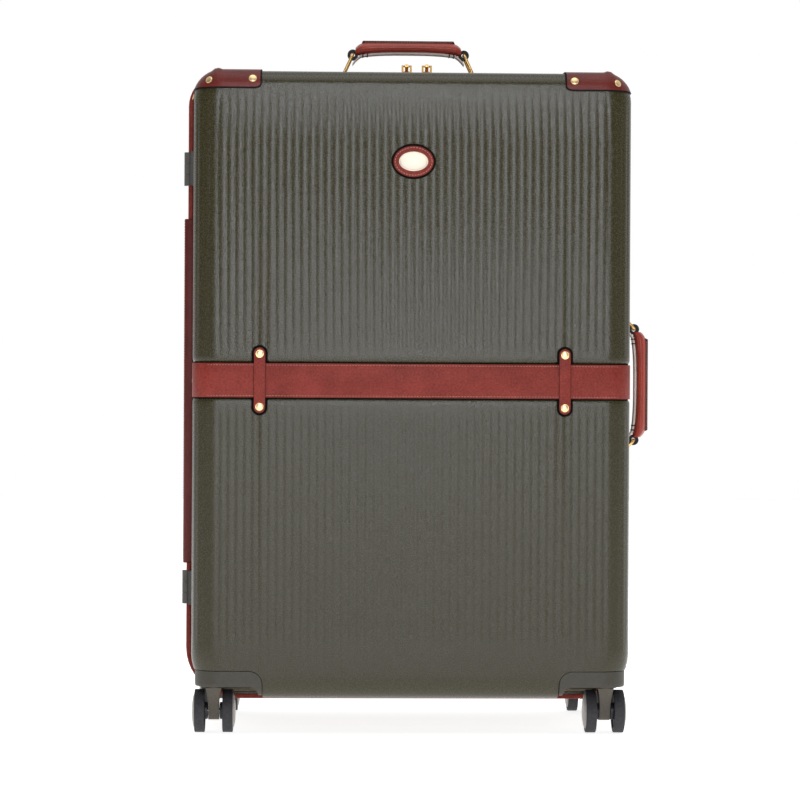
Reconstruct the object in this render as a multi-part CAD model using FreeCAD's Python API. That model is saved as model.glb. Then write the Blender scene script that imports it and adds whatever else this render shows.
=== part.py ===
import FreeCAD, Part
import math
import os

V = FreeCAD.Vector

# Case body, in millimetres; the front faces -Y, the seam lies in the plane y = 0, the floor at z = 0
CASE_WIDTH = 516.0             # across the outline at the seam
CASE_TOP = 772.0               # top of the outline at the seam
CASE_BOTTOM = 38.0             # underside of the outline at the seam
HALF_DEPTH = 150.0             # seam to face, the same for both halves
SEAM_HALF_GAP = 6.0            # seam plane to each shell's rim
DRAFT = 5.0                    # how far each side draws in from seam to face
TOP_CORNER = 33.0              # radius of the outline's corners
BOTTOM_CORNER = 52.0
TOP_EDGE_RADIUS = 14.0         # rounding where the face meets the top
SIDE_EDGE_RADIUS = 28.0        # rounding where the face meets the sides and the bottom
WALL = 3.2
SEAT_GAP = 0.1                 # clearance between leather or cloth and the shell that carries it

# Leather belt, keepers and corner caps
BELT_HEIGHT = 41.0
BELT_LEVEL = 410.0             # middle of the belt above the floor
BELT_THICKNESS = 2.2
CHANNEL_DEPTH = 1.8
CHANNEL_GAP = 1.6              # open line above and below the belt
BELT_END_GAP = 2.0             # belt end to hinge strip
KEEPER_WIDTH = 14.0
KEEPER_HEIGHT = 76.0
KEEPER_THICKNESS = 2.2
KEEPER_SPREAD = CASE_WIDTH / 2 - 81.0   # middle of the case to the middle of a keeper
KEEPER_MOAT = 2.0
KEEPER_MOAT_DEPTH = 1.0
CAP_LENGTH = 82.0              # side of the case to the cap's inner edge
CAP_HEIGHT = 29.0
CAP_THICKNESS = 1.8
CAP_CORNER = 10.0
RIVET_RADIUS = 4.15
RIVET_RISE = 1.4
RIVET_STEPS = ((1.0, 0.0), (0.85, 0.7), (0.4, 1.0))   # radius and height of each step of the head
RIVET_EDGE = 7.5               # rivet to the end of its keeper

# Badge
BADGE_LEVEL = 665.0
BADGE_PAD_LENGTH = 47.5
BADGE_PAD_HEIGHT = 36.5
BADGE_PAD_THICKNESS = 2.4
BADGE_PLATE_LENGTH = 34.0
BADGE_PLATE_HEIGHT = 22.6
BADGE_PLATE_THICKNESS = 1.0
BADGE_MOAT = 2.0
BADGE_RECESS_DEPTH = 1.0

# Zip
TAPE_PROUD = 0.8               # tape edge beyond the outline between the hinges
PIPING_PROUD = 7.0             # leather-bound tape edge beyond the outline elsewhere
TAPE_THICKNESS = 1.2
TAPE_FLANGE = 12.0             # width glued inside the shell
TEETH_HALF_WIDTH = 1.5
TEETH_SPLIT = 0.15             # seam plane to each row of teeth
TEETH_INSET = 0.6              # teeth below the bound edge
TEETH_HEIGHT = 2.4
ZIP_PARK = 8.8                 # where the two sliders meet, right of the middle
SLIDER_LENGTH = 14.0
SLIDER_WIDTH = 9.0
SLIDER_HEIGHT = 3.2
SLIDER_GAP = 0.35              # slider above the tape
SLIDER_PARTING = 5.1           # half the space between the two sliders when closed
CROWN_WIRE = 1.1
CROWN_SPAN = 10.0              # between the posts of the slider's crown
CROWN_RISE = 7.5
PULL_EYE_WALL = 1.3
PULL_EYE_WIDTH = 4.0
PULL_LENGTH = 22.0
PULL_WIDTH = 8.0
PULL_THICKNESS = 1.6
PULL_REST_GAP = 0.4            # pull's tip above the shell

# Hinges on the left side
HINGE_LOW = 162.0              # middle of each hinge above the floor
HINGE_HIGH = 664.0
HINGE_HEIGHT = 40.0
HINGE_BARREL = 5.0
HINGE_STANDOFF = 7.2           # seam outline to the pin's axis
HINGE_PIN = 2.0
HINGE_LEAF_REACH = 22.0
HINGE_LEAF_THICKNESS = 2.8
KNUCKLE_GAP = 0.4
RUNNING_FIT = 0.05
STRIP_LOW = 191.0
STRIP_HIGH = 604.0
STRIP_THICKNESS = 11.2         # the strip is a padded spine over the hinge line
STRIP_ROUND = 4.0
STRIP_FRONT = 5.0              # strip's reach in front of and behind the seam plane
STRIP_REAR = 16.0

# Wheel housings
HOUSING_LENGTH = 86.3          # side of the case to the housing's inner edge
HOUSING_DEPTH = 88.0           # face of the case to the housing's edge towards the seam
HOUSING_TOP = 74.8
HOUSING_UNDERSIDE = 56.8
HOUSING_CORNER = 15.0
HOUSING_SEAM = 0.7
HOUSING_INNER_WALL = 4.0
HOUSING_DRAW = 3.5             # housing's side inside the shell's side at the face
HOUSING_RISE = 3.5             # housing's foot above the shell's lower face
HOUSING_EDGE = 14.0            # rounding along the housing's lower edge

# Casters
CASTER_X = CASE_WIDTH / 2 - 30.0
CASTER_Y = HALF_DEPTH - 38.0
CASTER_TRAIL = 8.0
WHEEL_RADIUS = 25.0
TYRE_WIDTH = 12.0
TYRE_DEPTH = 6.0
TYRE_ROUND = 2.2
HUB_DOME = 3.0
WHEEL_GAP = 20.0               # between the two wheels of a caster
WHEEL_SIDE_GAP = 0.3
AXLE_RADIUS = 3.0
STEM_RADIUS = 4.0
STEM_LENGTH = 14.0
FORK_HEAD_RADIUS = 13.0
FORK_HEAD_HEIGHT = 3.2
FORK_TOP_WIDTH = 18.4
FORK_FOOT_WIDTH = 12.5
FORK_WAIST = 33.0              # height where the fork reaches its narrow width
FORK_END_RADIUS = 10.5
FORK_CLEARANCE = 0.3

# Carrying handles
HANDLE_Y = 45.0                # behind the seam plane
SIDE_HANDLE_LEVEL = 408.0
EYE_SPREAD = 81.0
EYE_RISE = 9.5                 # eye's centre above the shell
EYE_WIRE = 1.6
EYE_CLEARANCE = 0.95
EYE_BASE_LENGTH = 22.0
EYE_BASE_WIDTH = 10.0
EYE_BASE_THICKNESS = 2.0
RING_WIRE = 1.8
RING_WIDTH = 22.0
RING_CORNER = 5.0
LOOP_CLEARANCE = 0.3
EYE_CHAMFER = 1.2
LOOP_SPREAD = 67.7
TOP_LOOP_RISE = 28.5           # eye to loop, away from the shell
SIDE_LOOP_RISE = 12.0
LOOP_WALL = 2.2
LOOP_WIDTH = 11.0
GRIP_HEIGHT = 15.5
GRIP_WIDTH = 24.0
GRIP_END_WIDTH = 17.0
GRIP_BOW = 2.0
GRIP_SEAM = 2.4                # upright sewn edge along the grip
LINING_STRIP_THICKNESS = 1.4
LINING_STRIP_WIDTH = 14.0
LINING_STRIP_BOW = 2.0

# Trolley handle
TROLLEY_Y = HALF_DEPTH - 29.0
TROLLEY_SPREAD = 72.0
SLEEVE_LENGTH = 24.0
SLEEVE_WIDTH = 16.0
TUBE_WALL = 1.5
TUBE_GAP = 0.3
TUBE_CORNER = 3.0
TUBE_FOOT = 100.0              # lowest end of the sleeves
TUBE_STEP = 10.0               # each stage ends higher than the one round it
BEZEL_LENGTH = 198.0
BEZEL_WIDTH = 28.0
BEZEL_FLANGE = 1.4
BEZEL_WALL = 2.0
POCKET_DEPTH = 25.0
GRIP_BAR_GAP = 0.6
GRIP_BAR_HEIGHT = 21.0
BUTTON_LENGTH = 30.0
BUTTON_WIDTH = 9.0
BUTTON_PROUD = 1.0
BUTTON_SEAT = 5.0
BUTTON_TRAVEL = 3.0

# Inside
LINING_THICKNESS = 1.2
TUNNEL_GAP = 1.5
STRAP_WIDTH = 34.0
STRAP_THICKNESS = 1.4
STRAP_LOW = 130.0
STRAP_HIGH = 680.0
BUCKLE_LENGTH = 62.0
BUCKLE_HEIGHT = 46.0
BUCKLE_THICKNESS = 6.0

FRONT = -1
REAR = 1


# Shapes that many pieces share
def box(x0, x1, y0, y1, z0, z1):
    return Part.makeBox(x1 - x0, y1 - y0, z1 - z0, V(x0, y0, z0))


def corner_arc(center_x, center_z, radius, start):
    angles = [start, start + math.pi / 4, start + math.pi / 2]
    return [V(center_x + radius * math.cos(a), 0, center_z + radius * math.sin(a)) for a in angles]


def rounded_outline(half, low, high, low_radius, high_radius):
    arcs = [
        corner_arc(half - low_radius, low + low_radius, low_radius, -math.pi / 2),
        corner_arc(half - high_radius, high - high_radius, high_radius, 0.0),
        corner_arc(high_radius - half, high - high_radius, high_radius, math.pi / 2),
        corner_arc(low_radius - half, low + low_radius, low_radius, math.pi),
    ]
    edges = []
    for index, points in enumerate(arcs):
        following = arcs[(index + 1) % len(arcs)]
        edges.append(Part.Arc(*points).toShape())
        edges.append(Part.makeLine(points[-1], following[0]))
    return Part.Wire(edges)


def draw_at(depth):
    return DRAFT * depth / HALF_DEPTH


def outline_prism(near, far, inset):
    draw = draw_at(far) + inset
    wire = rounded_outline(CASE_WIDTH / 2 - draw, CASE_BOTTOM + draw, CASE_TOP - draw,
                           BOTTOM_CORNER - inset, TOP_CORNER - inset)
    return Part.Face(wire).extrude(V(0, far - near, 0)).translated(V(0, near, 0))


def outline_ring(near, far, outer_inset, inner_inset):
    return outline_prism(near, far, outer_inset).cut(outline_prism(near, far, inner_inset))


def drafted_block(inset, rim):
    face = HALF_DEPTH - inset
    rim_draw = draw_at(rim) + inset
    face_draw = draw_at(face) + inset
    half = CASE_WIDTH / 2
    near_corner = (rim_draw - half, rim, CASE_BOTTOM + rim_draw)
    far_corner = (half - rim_draw, face, CASE_TOP - rim_draw)
    return Part.makeWedge(*near_corner, CASE_BOTTOM + face_draw, face_draw - half,
                          *far_corner, CASE_TOP - face_draw, half - face_draw)


def edge_radius(edge, inset):
    bounds = edge.BoundBox
    upper = bounds.Center.z > (CASE_TOP + CASE_BOTTOM) / 2
    if bounds.YLength > 1.0:
        return (TOP_CORNER if upper else BOTTOM_CORNER) - inset
    along_top = upper and bounds.XLength > 1.0
    return (TOP_EDGE_RADIUS if along_top else SIDE_EDGE_RADIUS) - inset


def eased_block(feature, inset, rim):
    document = FreeCAD.newDocument("easing")
    base = document.addObject("Part::Feature", "Base")
    base.Shape = drafted_block(inset, rim)
    easing = document.addObject(feature, "Easing")
    easing.Base = base
    sizes = []
    for number, edge in enumerate(base.Shape.Edges, 1):
        if edge.BoundBox.YMax > rim + 1.0:
            size = edge_radius(edge, inset)
            sizes.append((number, size, size))
    easing.Edges = sizes
    document.recompute()
    form = easing.Shape.copy()
    FreeCAD.closeDocument(document.Name)
    return form


def half_form(side, inset, rim=SEAM_HALF_GAP):
    return mirrored(eased_block("Part::Fillet", inset, rim), 1, side)


def mirrored(shape, x_sign, y_sign):
    if x_sign < 0:
        shape = shape.mirror(V(0, 0, 0), V(1, 0, 0))
    if y_sign < 0:
        shape = shape.mirror(V(0, 0, 0), V(0, 1, 0))
    return shape


def stadium(length, height, y0, y1, center_x, center_z):
    radius = min(length, height) / 2
    reach_x = length / 2 - radius
    reach_z = height / 2 - radius
    ends = []
    for sign in (-1, 1):
        place = V(center_x + sign * reach_x, y0, center_z + sign * reach_z)
        ends.append(Part.makeCylinder(radius, y1 - y0, place, V(0, 1, 0)))
    half_x = radius if reach_z > 0 else reach_x
    half_z = radius if reach_x > 0 else reach_z
    middle = box(center_x - half_x, center_x + half_x, y0, y1, center_z - half_z, center_z + half_z)
    return middle.fuse(ends).removeSplitter()


def oval(length, height, y0, y1, center_z):
    ellipse = Part.Ellipse(V(length / 2, y0, center_z), V(0, y0, center_z + height / 2), V(0, y0, center_z))
    face = Part.Face(Part.Wire([ellipse.toShape()]))
    return face.extrude(V(0, y1 - y0, 0))


def tube_block(length, width, corner, z0, z1, center_x, center_y):
    block = box(center_x - length / 2, center_x + length / 2,
                center_y - width / 2, center_y + width / 2, z0, z1)
    upright = [edge for edge in block.Edges if edge.BoundBox.ZLength > z1 - z0 - 1e-6]
    return block.makeChamfer(corner, upright)


def turned(edges, axis):
    solid = Part.Face(Part.Wire(edges)).revolve(V(0, 0, 0), axis, 360)
    if solid.Volume < 0:
        solid.reverse()
    return solid


def octagon(radius):
    points = []
    for index in range(8):
        angle = math.pi * (index + 0.5) / 4
        points.append(V(radius * math.cos(angle), radius * math.sin(angle), 0))
    return Part.makePolygon(points + points[:1])


def dome_edges(radius, rise):
    sphere = (radius ** 2 + rise ** 2) / (2 * rise)
    half_angle = math.asin(radius / sphere) / 2
    rim = V(radius, 0, 0)
    shoulder = V(sphere * math.sin(half_angle), 0, rise - sphere + sphere * math.cos(half_angle))
    crest = V(0, 0, rise)
    base = V(0, 0, 0)
    return [Part.makeLine(base, rim), Part.Arc(rim, shoulder, crest).toShape(), Part.makeLine(crest, base)]


def polygon_edges(points):
    return Part.makePolygon(points + points[:1]).Edges


def group(shapes):
    return Part.makeCompound(shapes)


# Moulded shells
def edges_along(shape, direction, x, z):
    found = []
    for edge in shape.Edges:
        bounds = edge.BoundBox
        long_enough = getattr(bounds, direction + "Length") > 1.0
        near = abs(bounds.Center.x - x) < 0.01 and abs(bounds.Center.z - z) < 0.01
        if long_enough and near:
            found.append(edge)
    return found


def housing_region(x_sign, side, grow):
    inner_x = CASE_WIDTH / 2 - HOUSING_LENGTH - grow
    inner_y = HALF_DEPTH - HOUSING_DEPTH - grow
    top_z = HOUSING_TOP + grow
    region = box(inner_x, CASE_WIDTH, inner_y, 2 * HALF_DEPTH, 0.0, top_z)
    region = region.makeFillet(HOUSING_CORNER + grow, edges_along(region, "Y", inner_x, top_z))
    return mirrored(region, x_sign, side)


def housing_recess(x_sign, side):
    inner_x = CASE_WIDTH / 2 - HOUSING_LENGTH + HOUSING_INNER_WALL
    inner_y = HALF_DEPTH - HOUSING_DEPTH + HOUSING_INNER_WALL
    recess = box(inner_x, CASE_WIDTH, inner_y, 2 * HALF_DEPTH, 0.0, HOUSING_UNDERSIDE)
    rounding = HOUSING_CORNER - HOUSING_INNER_WALL
    recess = recess.makeFillet(rounding, edges_along(recess, "Y", inner_x, HOUSING_UNDERSIDE))
    return mirrored(recess, x_sign, side)


def housing_form(x_sign, side):
    half = CASE_WIDTH / 2 - DRAFT - HOUSING_DRAW
    low = CASE_BOTTOM + DRAFT + HOUSING_RISE
    form = box(0.0, half, 0.0, HALF_DEPTH, low, 2 * HOUSING_TOP)
    corner = V(half, HALF_DEPTH, 0)
    upright = [edge for edge in form.Edges if edge.BoundBox.Center.distanceToLine(corner, V(0, 0, 1)) < 0.01]
    form = form.makeFillet(SIDE_EDGE_RADIUS, upright)
    lower = [edge for edge in form.Edges
             if edge.BoundBox.ZMax < low + 0.01 and edge.BoundBox.YMax > HALF_DEPTH - 0.01
             and edge.BoundBox.XLength > HOUSING_LENGTH]
    return mirrored(form.makeFillet(HOUSING_EDGE, lower), x_sign, side)


def wheel_housing(x_sign, side):
    block = housing_form(x_sign, side).common(housing_region(x_sign, side, 0.0))
    block = block.cut(housing_recess(x_sign, side))
    foot = V(x_sign * CASTER_X, side * CASTER_Y, HOUSING_UNDERSIDE - 1.0)
    bore_length = STEM_LENGTH + 1.0 + FORK_CLEARANCE
    return block.cut(Part.makeCylinder(STEM_RADIUS + RUNNING_FIT, bore_length, foot))


def belt_slab(side, margin):
    start = STRIP_REAR + BELT_END_GAP - margin
    low = BELT_LEVEL - BELT_HEIGHT / 2 - margin
    slab = box(-CASE_WIDTH, CASE_WIDTH, start, 2 * HALF_DEPTH, low, low + BELT_HEIGHT + 2 * margin)
    return mirrored(slab, 1, side)


def bare_shell(side):
    shell = half_form(side, 0.0).cut(half_form(side, WALL, 0.0))
    channel = belt_slab(side, CHANNEL_GAP).cut(half_form(side, CHANNEL_DEPTH, 0.0))
    notches = [housing_region(x_sign, side, HOUSING_SEAM) for x_sign in (-1, 1)]
    return shell.cut([channel] + notches)


def keeper_moat(x_sign):
    face = -HALF_DEPTH
    length = KEEPER_WIDTH + 2 * KEEPER_MOAT
    height = KEEPER_HEIGHT + 2 * KEEPER_MOAT
    return stadium(length, height, face - 1.0, face + KEEPER_MOAT_DEPTH, x_sign * KEEPER_SPREAD, BELT_LEVEL)


def front_shell():
    face = -HALF_DEPTH
    badge_recess = oval(BADGE_PAD_LENGTH + 2 * BADGE_MOAT, BADGE_PAD_HEIGHT + 2 * BADGE_MOAT,
                        face - 1.0, face + BADGE_RECESS_DEPTH, BADGE_LEVEL)
    moats = [keeper_moat(x_sign) for x_sign in (-1, 1)]
    return bare_shell(FRONT).cut([badge_recess] + moats)


def rear_shell():
    return bare_shell(REAR).cut(bezel_body(TUBE_GAP))


# Leather and brass trim
def belt(side):
    outer = half_form(side, CHANNEL_DEPTH - SEAT_GAP - BELT_THICKNESS)
    inner = half_form(side, CHANNEL_DEPTH - SEAT_GAP, 0.0)
    return belt_slab(side, 0.0).common(outer).cut(inner)


def belt_face():
    return HALF_DEPTH + BELT_THICKNESS + SEAT_GAP - CHANNEL_DEPTH


def keeper(x_sign):
    back = -belt_face() - SEAT_GAP
    front = back - KEEPER_THICKNESS
    return stadium(KEEPER_WIDTH, KEEPER_HEIGHT, front, back, x_sign * KEEPER_SPREAD, BELT_LEVEL)


def corner_cap(x_sign, side):
    inner_x = CASE_WIDTH / 2 - CAP_LENGTH
    low = CASE_TOP - CAP_HEIGHT
    start = SEAM_HALF_GAP + BELT_END_GAP
    region = box(inner_x, CASE_WIDTH, start, 2 * HALF_DEPTH, low, 2 * CASE_TOP)
    region = mirrored(region.makeFillet(CAP_CORNER, edges_along(region, "Y", inner_x, low)), x_sign, side)
    outer = half_form(side, -SEAT_GAP - CAP_THICKNESS)
    inner = half_form(side, -SEAT_GAP, 0.0)
    return region.common(outer).cut(inner)


def rivet_on(leather, point):
    seat = leather.distToShape(Part.Vertex(point))[1][0][0]
    normal = point.sub(seat).normalize()
    rings = []
    for radius_share, rise_share in RIVET_STEPS:
        ring = octagon(RIVET_RADIUS * radius_share)
        ring.translate(V(0, 0, RIVET_RISE * rise_share))
        rings.append(ring)
    head = Part.makeLoft(rings, True, True)
    head.Placement = FreeCAD.Placement(seat, FreeCAD.Rotation(V(0, 0, 1), normal))
    return head


def rivets(side):
    heads = []
    cap_depth = side * HALF_DEPTH * 0.4
    belt_end = side * (STRIP_REAR + BELT_END_GAP + RIVET_EDGE)
    straps = belt(side)
    for x_sign in (-1, 1):
        cap = corner_cap(x_sign, side)
        level = CASE_TOP - CAP_HEIGHT / 2
        for inset in (CAP_LENGTH - RIVET_EDGE, RIVET_EDGE * 2.5):
            place = V(x_sign * (CASE_WIDTH / 2 - inset), side * HALF_DEPTH * 1.2, level)
            heads.append(rivet_on(cap, place))
        heads.append(rivet_on(cap, V(x_sign * CASE_WIDTH * 0.6, cap_depth, level - RIVET_EDGE)))
        heads.append(rivet_on(straps, V(x_sign * CASE_WIDTH * 0.6, belt_end, BELT_LEVEL)))
        if side == FRONT:
            tab = keeper(x_sign)
            for z_sign in (-1, 1):
                level = BELT_LEVEL + z_sign * (KEEPER_HEIGHT / 2 - RIVET_EDGE)
                heads.append(rivet_on(tab, V(x_sign * KEEPER_SPREAD, -2 * HALF_DEPTH, level)))
    return group(heads)


def badge_pad():
    back = -HALF_DEPTH + BADGE_RECESS_DEPTH
    return oval(BADGE_PAD_LENGTH, BADGE_PAD_HEIGHT, back - BADGE_PAD_THICKNESS, back, BADGE_LEVEL)


def badge_plate():
    back = -HALF_DEPTH + BADGE_RECESS_DEPTH - BADGE_PAD_THICKNESS
    return oval(BADGE_PLATE_LENGTH, BADGE_PLATE_HEIGHT, back - BADGE_PLATE_THICKNESS, back, BADGE_LEVEL)


# Zip
def left_side_gap(low, high):
    return box(-CASE_WIDTH, 0.0, -HALF_DEPTH, HALF_DEPTH, low, high)


def hinge_side_gap():
    margin = HINGE_HEIGHT / 2 + KNUCKLE_GAP
    return left_side_gap(HINGE_LOW - margin, HINGE_HIGH + margin)


def zip_tape(side):
    inner = WALL + SEAT_GAP + TAPE_THICKNESS
    edge = outline_ring(TEETH_HALF_WIDTH, SEAM_HALF_GAP, -TAPE_PROUD, inner)
    flange = outline_ring(SEAM_HALF_GAP, SEAM_HALF_GAP + TAPE_FLANGE, WALL + SEAT_GAP, inner)
    piping = outline_ring(TEETH_HALF_WIDTH, SEAM_HALF_GAP, -PIPING_PROUD, inner).cut(hinge_side_gap())
    flat = edge.fuse(flange).cut(left_side_gap(STRIP_LOW, STRIP_HIGH))
    return mirrored(flat.fuse(piping).removeSplitter(), 1, side)


def zip_teeth(side):
    top = TEETH_INSET - PIPING_PROUD
    ring = outline_ring(TEETH_SPLIT, TEETH_HALF_WIDTH, top, top + TEETH_HEIGHT)
    return mirrored(ring, 1, side).cut(hinge_side_gap())


def slider_floor():
    return CASE_TOP + PIPING_PROUD + SLIDER_GAP


def crown_level():
    return slider_floor() + SLIDER_HEIGHT + CROWN_RISE


def slider_middle(x_sign):
    return ZIP_PARK + x_sign * (SLIDER_PARTING + SLIDER_LENGTH / 2)


def zip_slider(x_sign):
    half_length = SLIDER_LENGTH / 2
    half_width = SLIDER_WIDTH / 2
    nose = half_width * 0.6
    floor = slider_floor()
    corners = [V(-half_length, -half_width, floor), V(half_length * 0.4, -half_width, floor),
               V(half_length, -nose, floor), V(half_length, nose, floor),
               V(half_length * 0.4, half_width, floor), V(-half_length, half_width, floor)]
    shield = Part.Face(Part.makePolygon(corners + corners[:1])).extrude(V(0, 0, SLIDER_HEIGHT))
    crown = []
    for sign in (-1, 1):
        middle = sign * CROWN_SPAN / 2
        crown.append(box(middle - CROWN_WIRE, middle + CROWN_WIRE, -CROWN_WIRE, CROWN_WIRE,
                         floor + SLIDER_HEIGHT / 2, crown_level() + CROWN_WIRE))
    crown.append(Part.makeCylinder(CROWN_WIRE, CROWN_SPAN, V(-CROWN_SPAN / 2, 0, crown_level()), V(1, 0, 0)))
    slider = mirrored(shield.fuse(crown), x_sign, 1)
    return slider.translated(V(slider_middle(x_sign), 0, 0))


def zip_pull(x_sign):
    eye_radius = CROWN_WIRE + RUNNING_FIT + PULL_EYE_WALL
    half_eye = PULL_EYE_WIDTH / 2
    eye = Part.makeCylinder(eye_radius, PULL_EYE_WIDTH, V(-half_eye, 0, 0), V(1, 0, 0))
    neck = box(-half_eye, half_eye, 0.0, PULL_LENGTH / 3, -PULL_THICKNESS / 2, PULL_THICKNESS / 2)
    tab = box(-PULL_WIDTH / 2, PULL_WIDTH / 2, PULL_LENGTH / 3, PULL_LENGTH,
              -PULL_THICKNESS / 2, PULL_THICKNESS / 2)
    upright = [edge for edge in tab.Edges if edge.BoundBox.ZLength > PULL_THICKNESS / 2]
    tab = tab.makeFillet(PULL_WIDTH / 4, upright)
    bore_start = V(-PULL_EYE_WIDTH, 0, 0)
    bore = Part.makeCylinder(CROWN_WIRE + RUNNING_FIT, 2 * PULL_EYE_WIDTH, bore_start, V(1, 0, 0))
    pull = eye.fuse([neck, tab]).cut(bore)
    drop = crown_level() - CASE_TOP - PULL_THICKNESS / 2 - PULL_REST_GAP
    slope = math.degrees(math.asin(drop / PULL_LENGTH))
    pull.rotate(V(0, 0, 0), V(1, 0, 0), -slope)
    return pull.translated(V(slider_middle(x_sign), 0, crown_level()))


# Hinges on the left side
def hinge_axis_x():
    return -CASE_WIDTH / 2 - HINGE_STANDOFF


def knuckle_spans(level, side):
    height = (HINGE_HEIGHT - 2 * KNUCKLE_GAP) / 3
    low = level - HINGE_HEIGHT / 2
    starts = [low + index * (height + KNUCKLE_GAP) for index in range(3)]
    chosen = starts[1:2] if side == FRONT else starts[0::2]
    return [(start, start + height) for start in chosen]


def hinge_leaf(level, side):
    axis_x = hinge_axis_x()
    seat_x = axis_x + HINGE_STANDOFF - TAPE_PROUD - KNUCKLE_GAP
    clear = HINGE_BARREL + KNUCKLE_GAP
    low = level - HINGE_HEIGHT / 2
    high = level + HINGE_HEIGHT / 2
    plate = box(seat_x - HINGE_LEAF_THICKNESS, seat_x, clear, HINGE_LEAF_REACH, low, high)
    pad = box(seat_x, axis_x + 2 * HINGE_STANDOFF, SEAM_HALF_GAP + KNUCKLE_GAP, HINGE_LEAF_REACH, low, high)
    leaf = mirrored(plate.fuse(pad), 1, side)
    for start, end in knuckle_spans(level, side):
        web = box(seat_x - HINGE_LEAF_THICKNESS, seat_x, 0.0, clear, start, end)
        barrel = Part.makeCylinder(HINGE_BARREL, end - start, V(axis_x, 0, start))
        leaf = leaf.fuse([mirrored(web, 1, side), barrel])
    bore = Part.makeCylinder(HINGE_PIN + RUNNING_FIT, 2 * HINGE_HEIGHT, V(axis_x, 0, level - HINGE_HEIGHT))
    return leaf.cut([half_form(side, 0.0), bore]).removeSplitter()


def hinge_pin(level):
    return Part.makeCylinder(HINGE_PIN, HINGE_HEIGHT, V(hinge_axis_x(), 0, level - HINGE_HEIGHT / 2))


def hinge_strip():
    outer = CASE_WIDTH / 2 + SEAT_GAP + STRIP_THICKNESS
    inner = CASE_WIDTH / 2 - TAPE_THICKNESS
    strip = box(-outer, -inner, -STRIP_FRONT, STRIP_REAR, STRIP_LOW, STRIP_HIGH)
    upright = [edge for edge in strip.Edges if edge.BoundBox.ZLength > STRIP_THICKNESS]
    outer_edges = [edge for edge in upright if edge.BoundBox.XMax < 0.1 - outer]
    return strip.makeFillet(STRIP_ROUND, outer_edges).cut(half_form(REAR, -SEAT_GAP))


# Casters, modelled about a stem on the Z axis and then set under each housing
def fork_front_profile():
    top = HOUSING_UNDERSIDE - FORK_CLEARANCE - FORK_HEAD_HEIGHT
    foot = WHEEL_RADIUS - FORK_END_RADIUS
    wide = FORK_TOP_WIDTH / 2
    narrow = FORK_FOOT_WIDTH / 2
    bend_z = FORK_WAIST + (top - FORK_WAIST) * 0.4
    bend_x = narrow + (wide - narrow) * 0.22
    edges = [
        Part.makeLine(V(-wide, 0, top), V(wide, 0, top)),
        Part.Arc(V(wide, 0, top), V(bend_x, 0, bend_z), V(narrow, 0, FORK_WAIST)).toShape(),
        Part.makeLine(V(narrow, 0, FORK_WAIST), V(narrow, 0, foot)),
        Part.makeLine(V(narrow, 0, foot), V(-narrow, 0, foot)),
        Part.makeLine(V(-narrow, 0, foot), V(-narrow, 0, FORK_WAIST)),
        Part.Arc(V(-narrow, 0, FORK_WAIST), V(-bend_x, 0, bend_z), V(-wide, 0, top)).toShape(),
    ]
    reach = WHEEL_RADIUS + CASTER_TRAIL
    return Part.Face(Part.Wire(edges)).extrude(V(0, 2 * reach, 0)).translated(V(0, -reach, 0))


def fork_side_profile():
    top = HOUSING_UNDERSIDE - FORK_CLEARANCE - FORK_HEAD_HEIGHT
    radius = FORK_END_RADIUS
    front = V(0, CASTER_TRAIL - radius, WHEEL_RADIUS)
    back = V(0, CASTER_TRAIL + radius, WHEEL_RADIUS)
    head_front = V(0, -FORK_HEAD_RADIUS, top)
    head_back = V(0, FORK_HEAD_RADIUS, top)
    edges = [
        Part.makeLine(head_front, front),
        Part.Arc(front, V(0, CASTER_TRAIL, WHEEL_RADIUS - radius), back).toShape(),
        Part.makeLine(back, head_back),
        Part.makeLine(head_back, head_front),
    ]
    return Part.Face(Part.Wire(edges)).extrude(V(2 * WHEEL_GAP, 0, 0)).translated(V(-WHEEL_GAP, 0, 0))


def axle_rod(radius, length):
    return Part.makeCylinder(radius, length, V(-length / 2, CASTER_TRAIL, WHEEL_RADIUS), V(1, 0, 0))


def caster_fork():
    head_low = HOUSING_UNDERSIDE - FORK_CLEARANCE - FORK_HEAD_HEIGHT
    head = Part.makeCylinder(FORK_HEAD_RADIUS, FORK_HEAD_HEIGHT, V(0, 0, head_low))
    stem_length = STEM_LENGTH + FORK_CLEARANCE
    stem = Part.makeCylinder(STEM_RADIUS, stem_length, V(0, 0, head_low + FORK_HEAD_HEIGHT))
    arm = fork_front_profile().common(fork_side_profile())
    return arm.fuse([head, stem]).cut(axle_rod(AXLE_RADIUS + RUNNING_FIT, 2 * WHEEL_GAP))


def axle_length():
    return WHEEL_GAP + 2 * (WHEEL_SIDE_GAP + TYRE_WIDTH)


def wheel(x_sign):
    inner_x = WHEEL_GAP / 2 + WHEEL_SIDE_GAP
    rim = WHEEL_RADIUS - TYRE_DEPTH
    outer_x = inner_x + TYRE_WIDTH
    shoulder = WHEEL_RADIUS - TYRE_ROUND
    tread = [V(inner_x, rim, 0), V(inner_x, shoulder, 0), V(inner_x + TYRE_ROUND, WHEEL_RADIUS, 0),
             V(outer_x - TYRE_ROUND, WHEEL_RADIUS, 0), V(outer_x, shoulder, 0), V(outer_x, rim, 0)]
    tyre = turned(polygon_edges(tread), V(1, 0, 0))
    core = Part.makeCylinder(rim, TYRE_WIDTH, V(inner_x, 0, 0), V(1, 0, 0))
    cover = turned(dome_edges(rim, HUB_DOME), V(0, 0, 1))
    cover.Placement = FreeCAD.Placement(V(outer_x, 0, 0), FreeCAD.Rotation(V(0, 0, 1), V(1, 0, 0)))
    hub = core.fuse(cover)
    bore_depth = (axle_length() - WHEEL_GAP) / 2
    bore_start = V(WHEEL_GAP / 2, 0, 0)
    hub = hub.cut(Part.makeCylinder(AXLE_RADIUS + RUNNING_FIT, bore_depth, bore_start, V(1, 0, 0)))
    pair = [mirrored(solid, x_sign, 1) for solid in (tyre, hub)]
    return group(pair).translated(V(0, CASTER_TRAIL, WHEEL_RADIUS))


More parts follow.
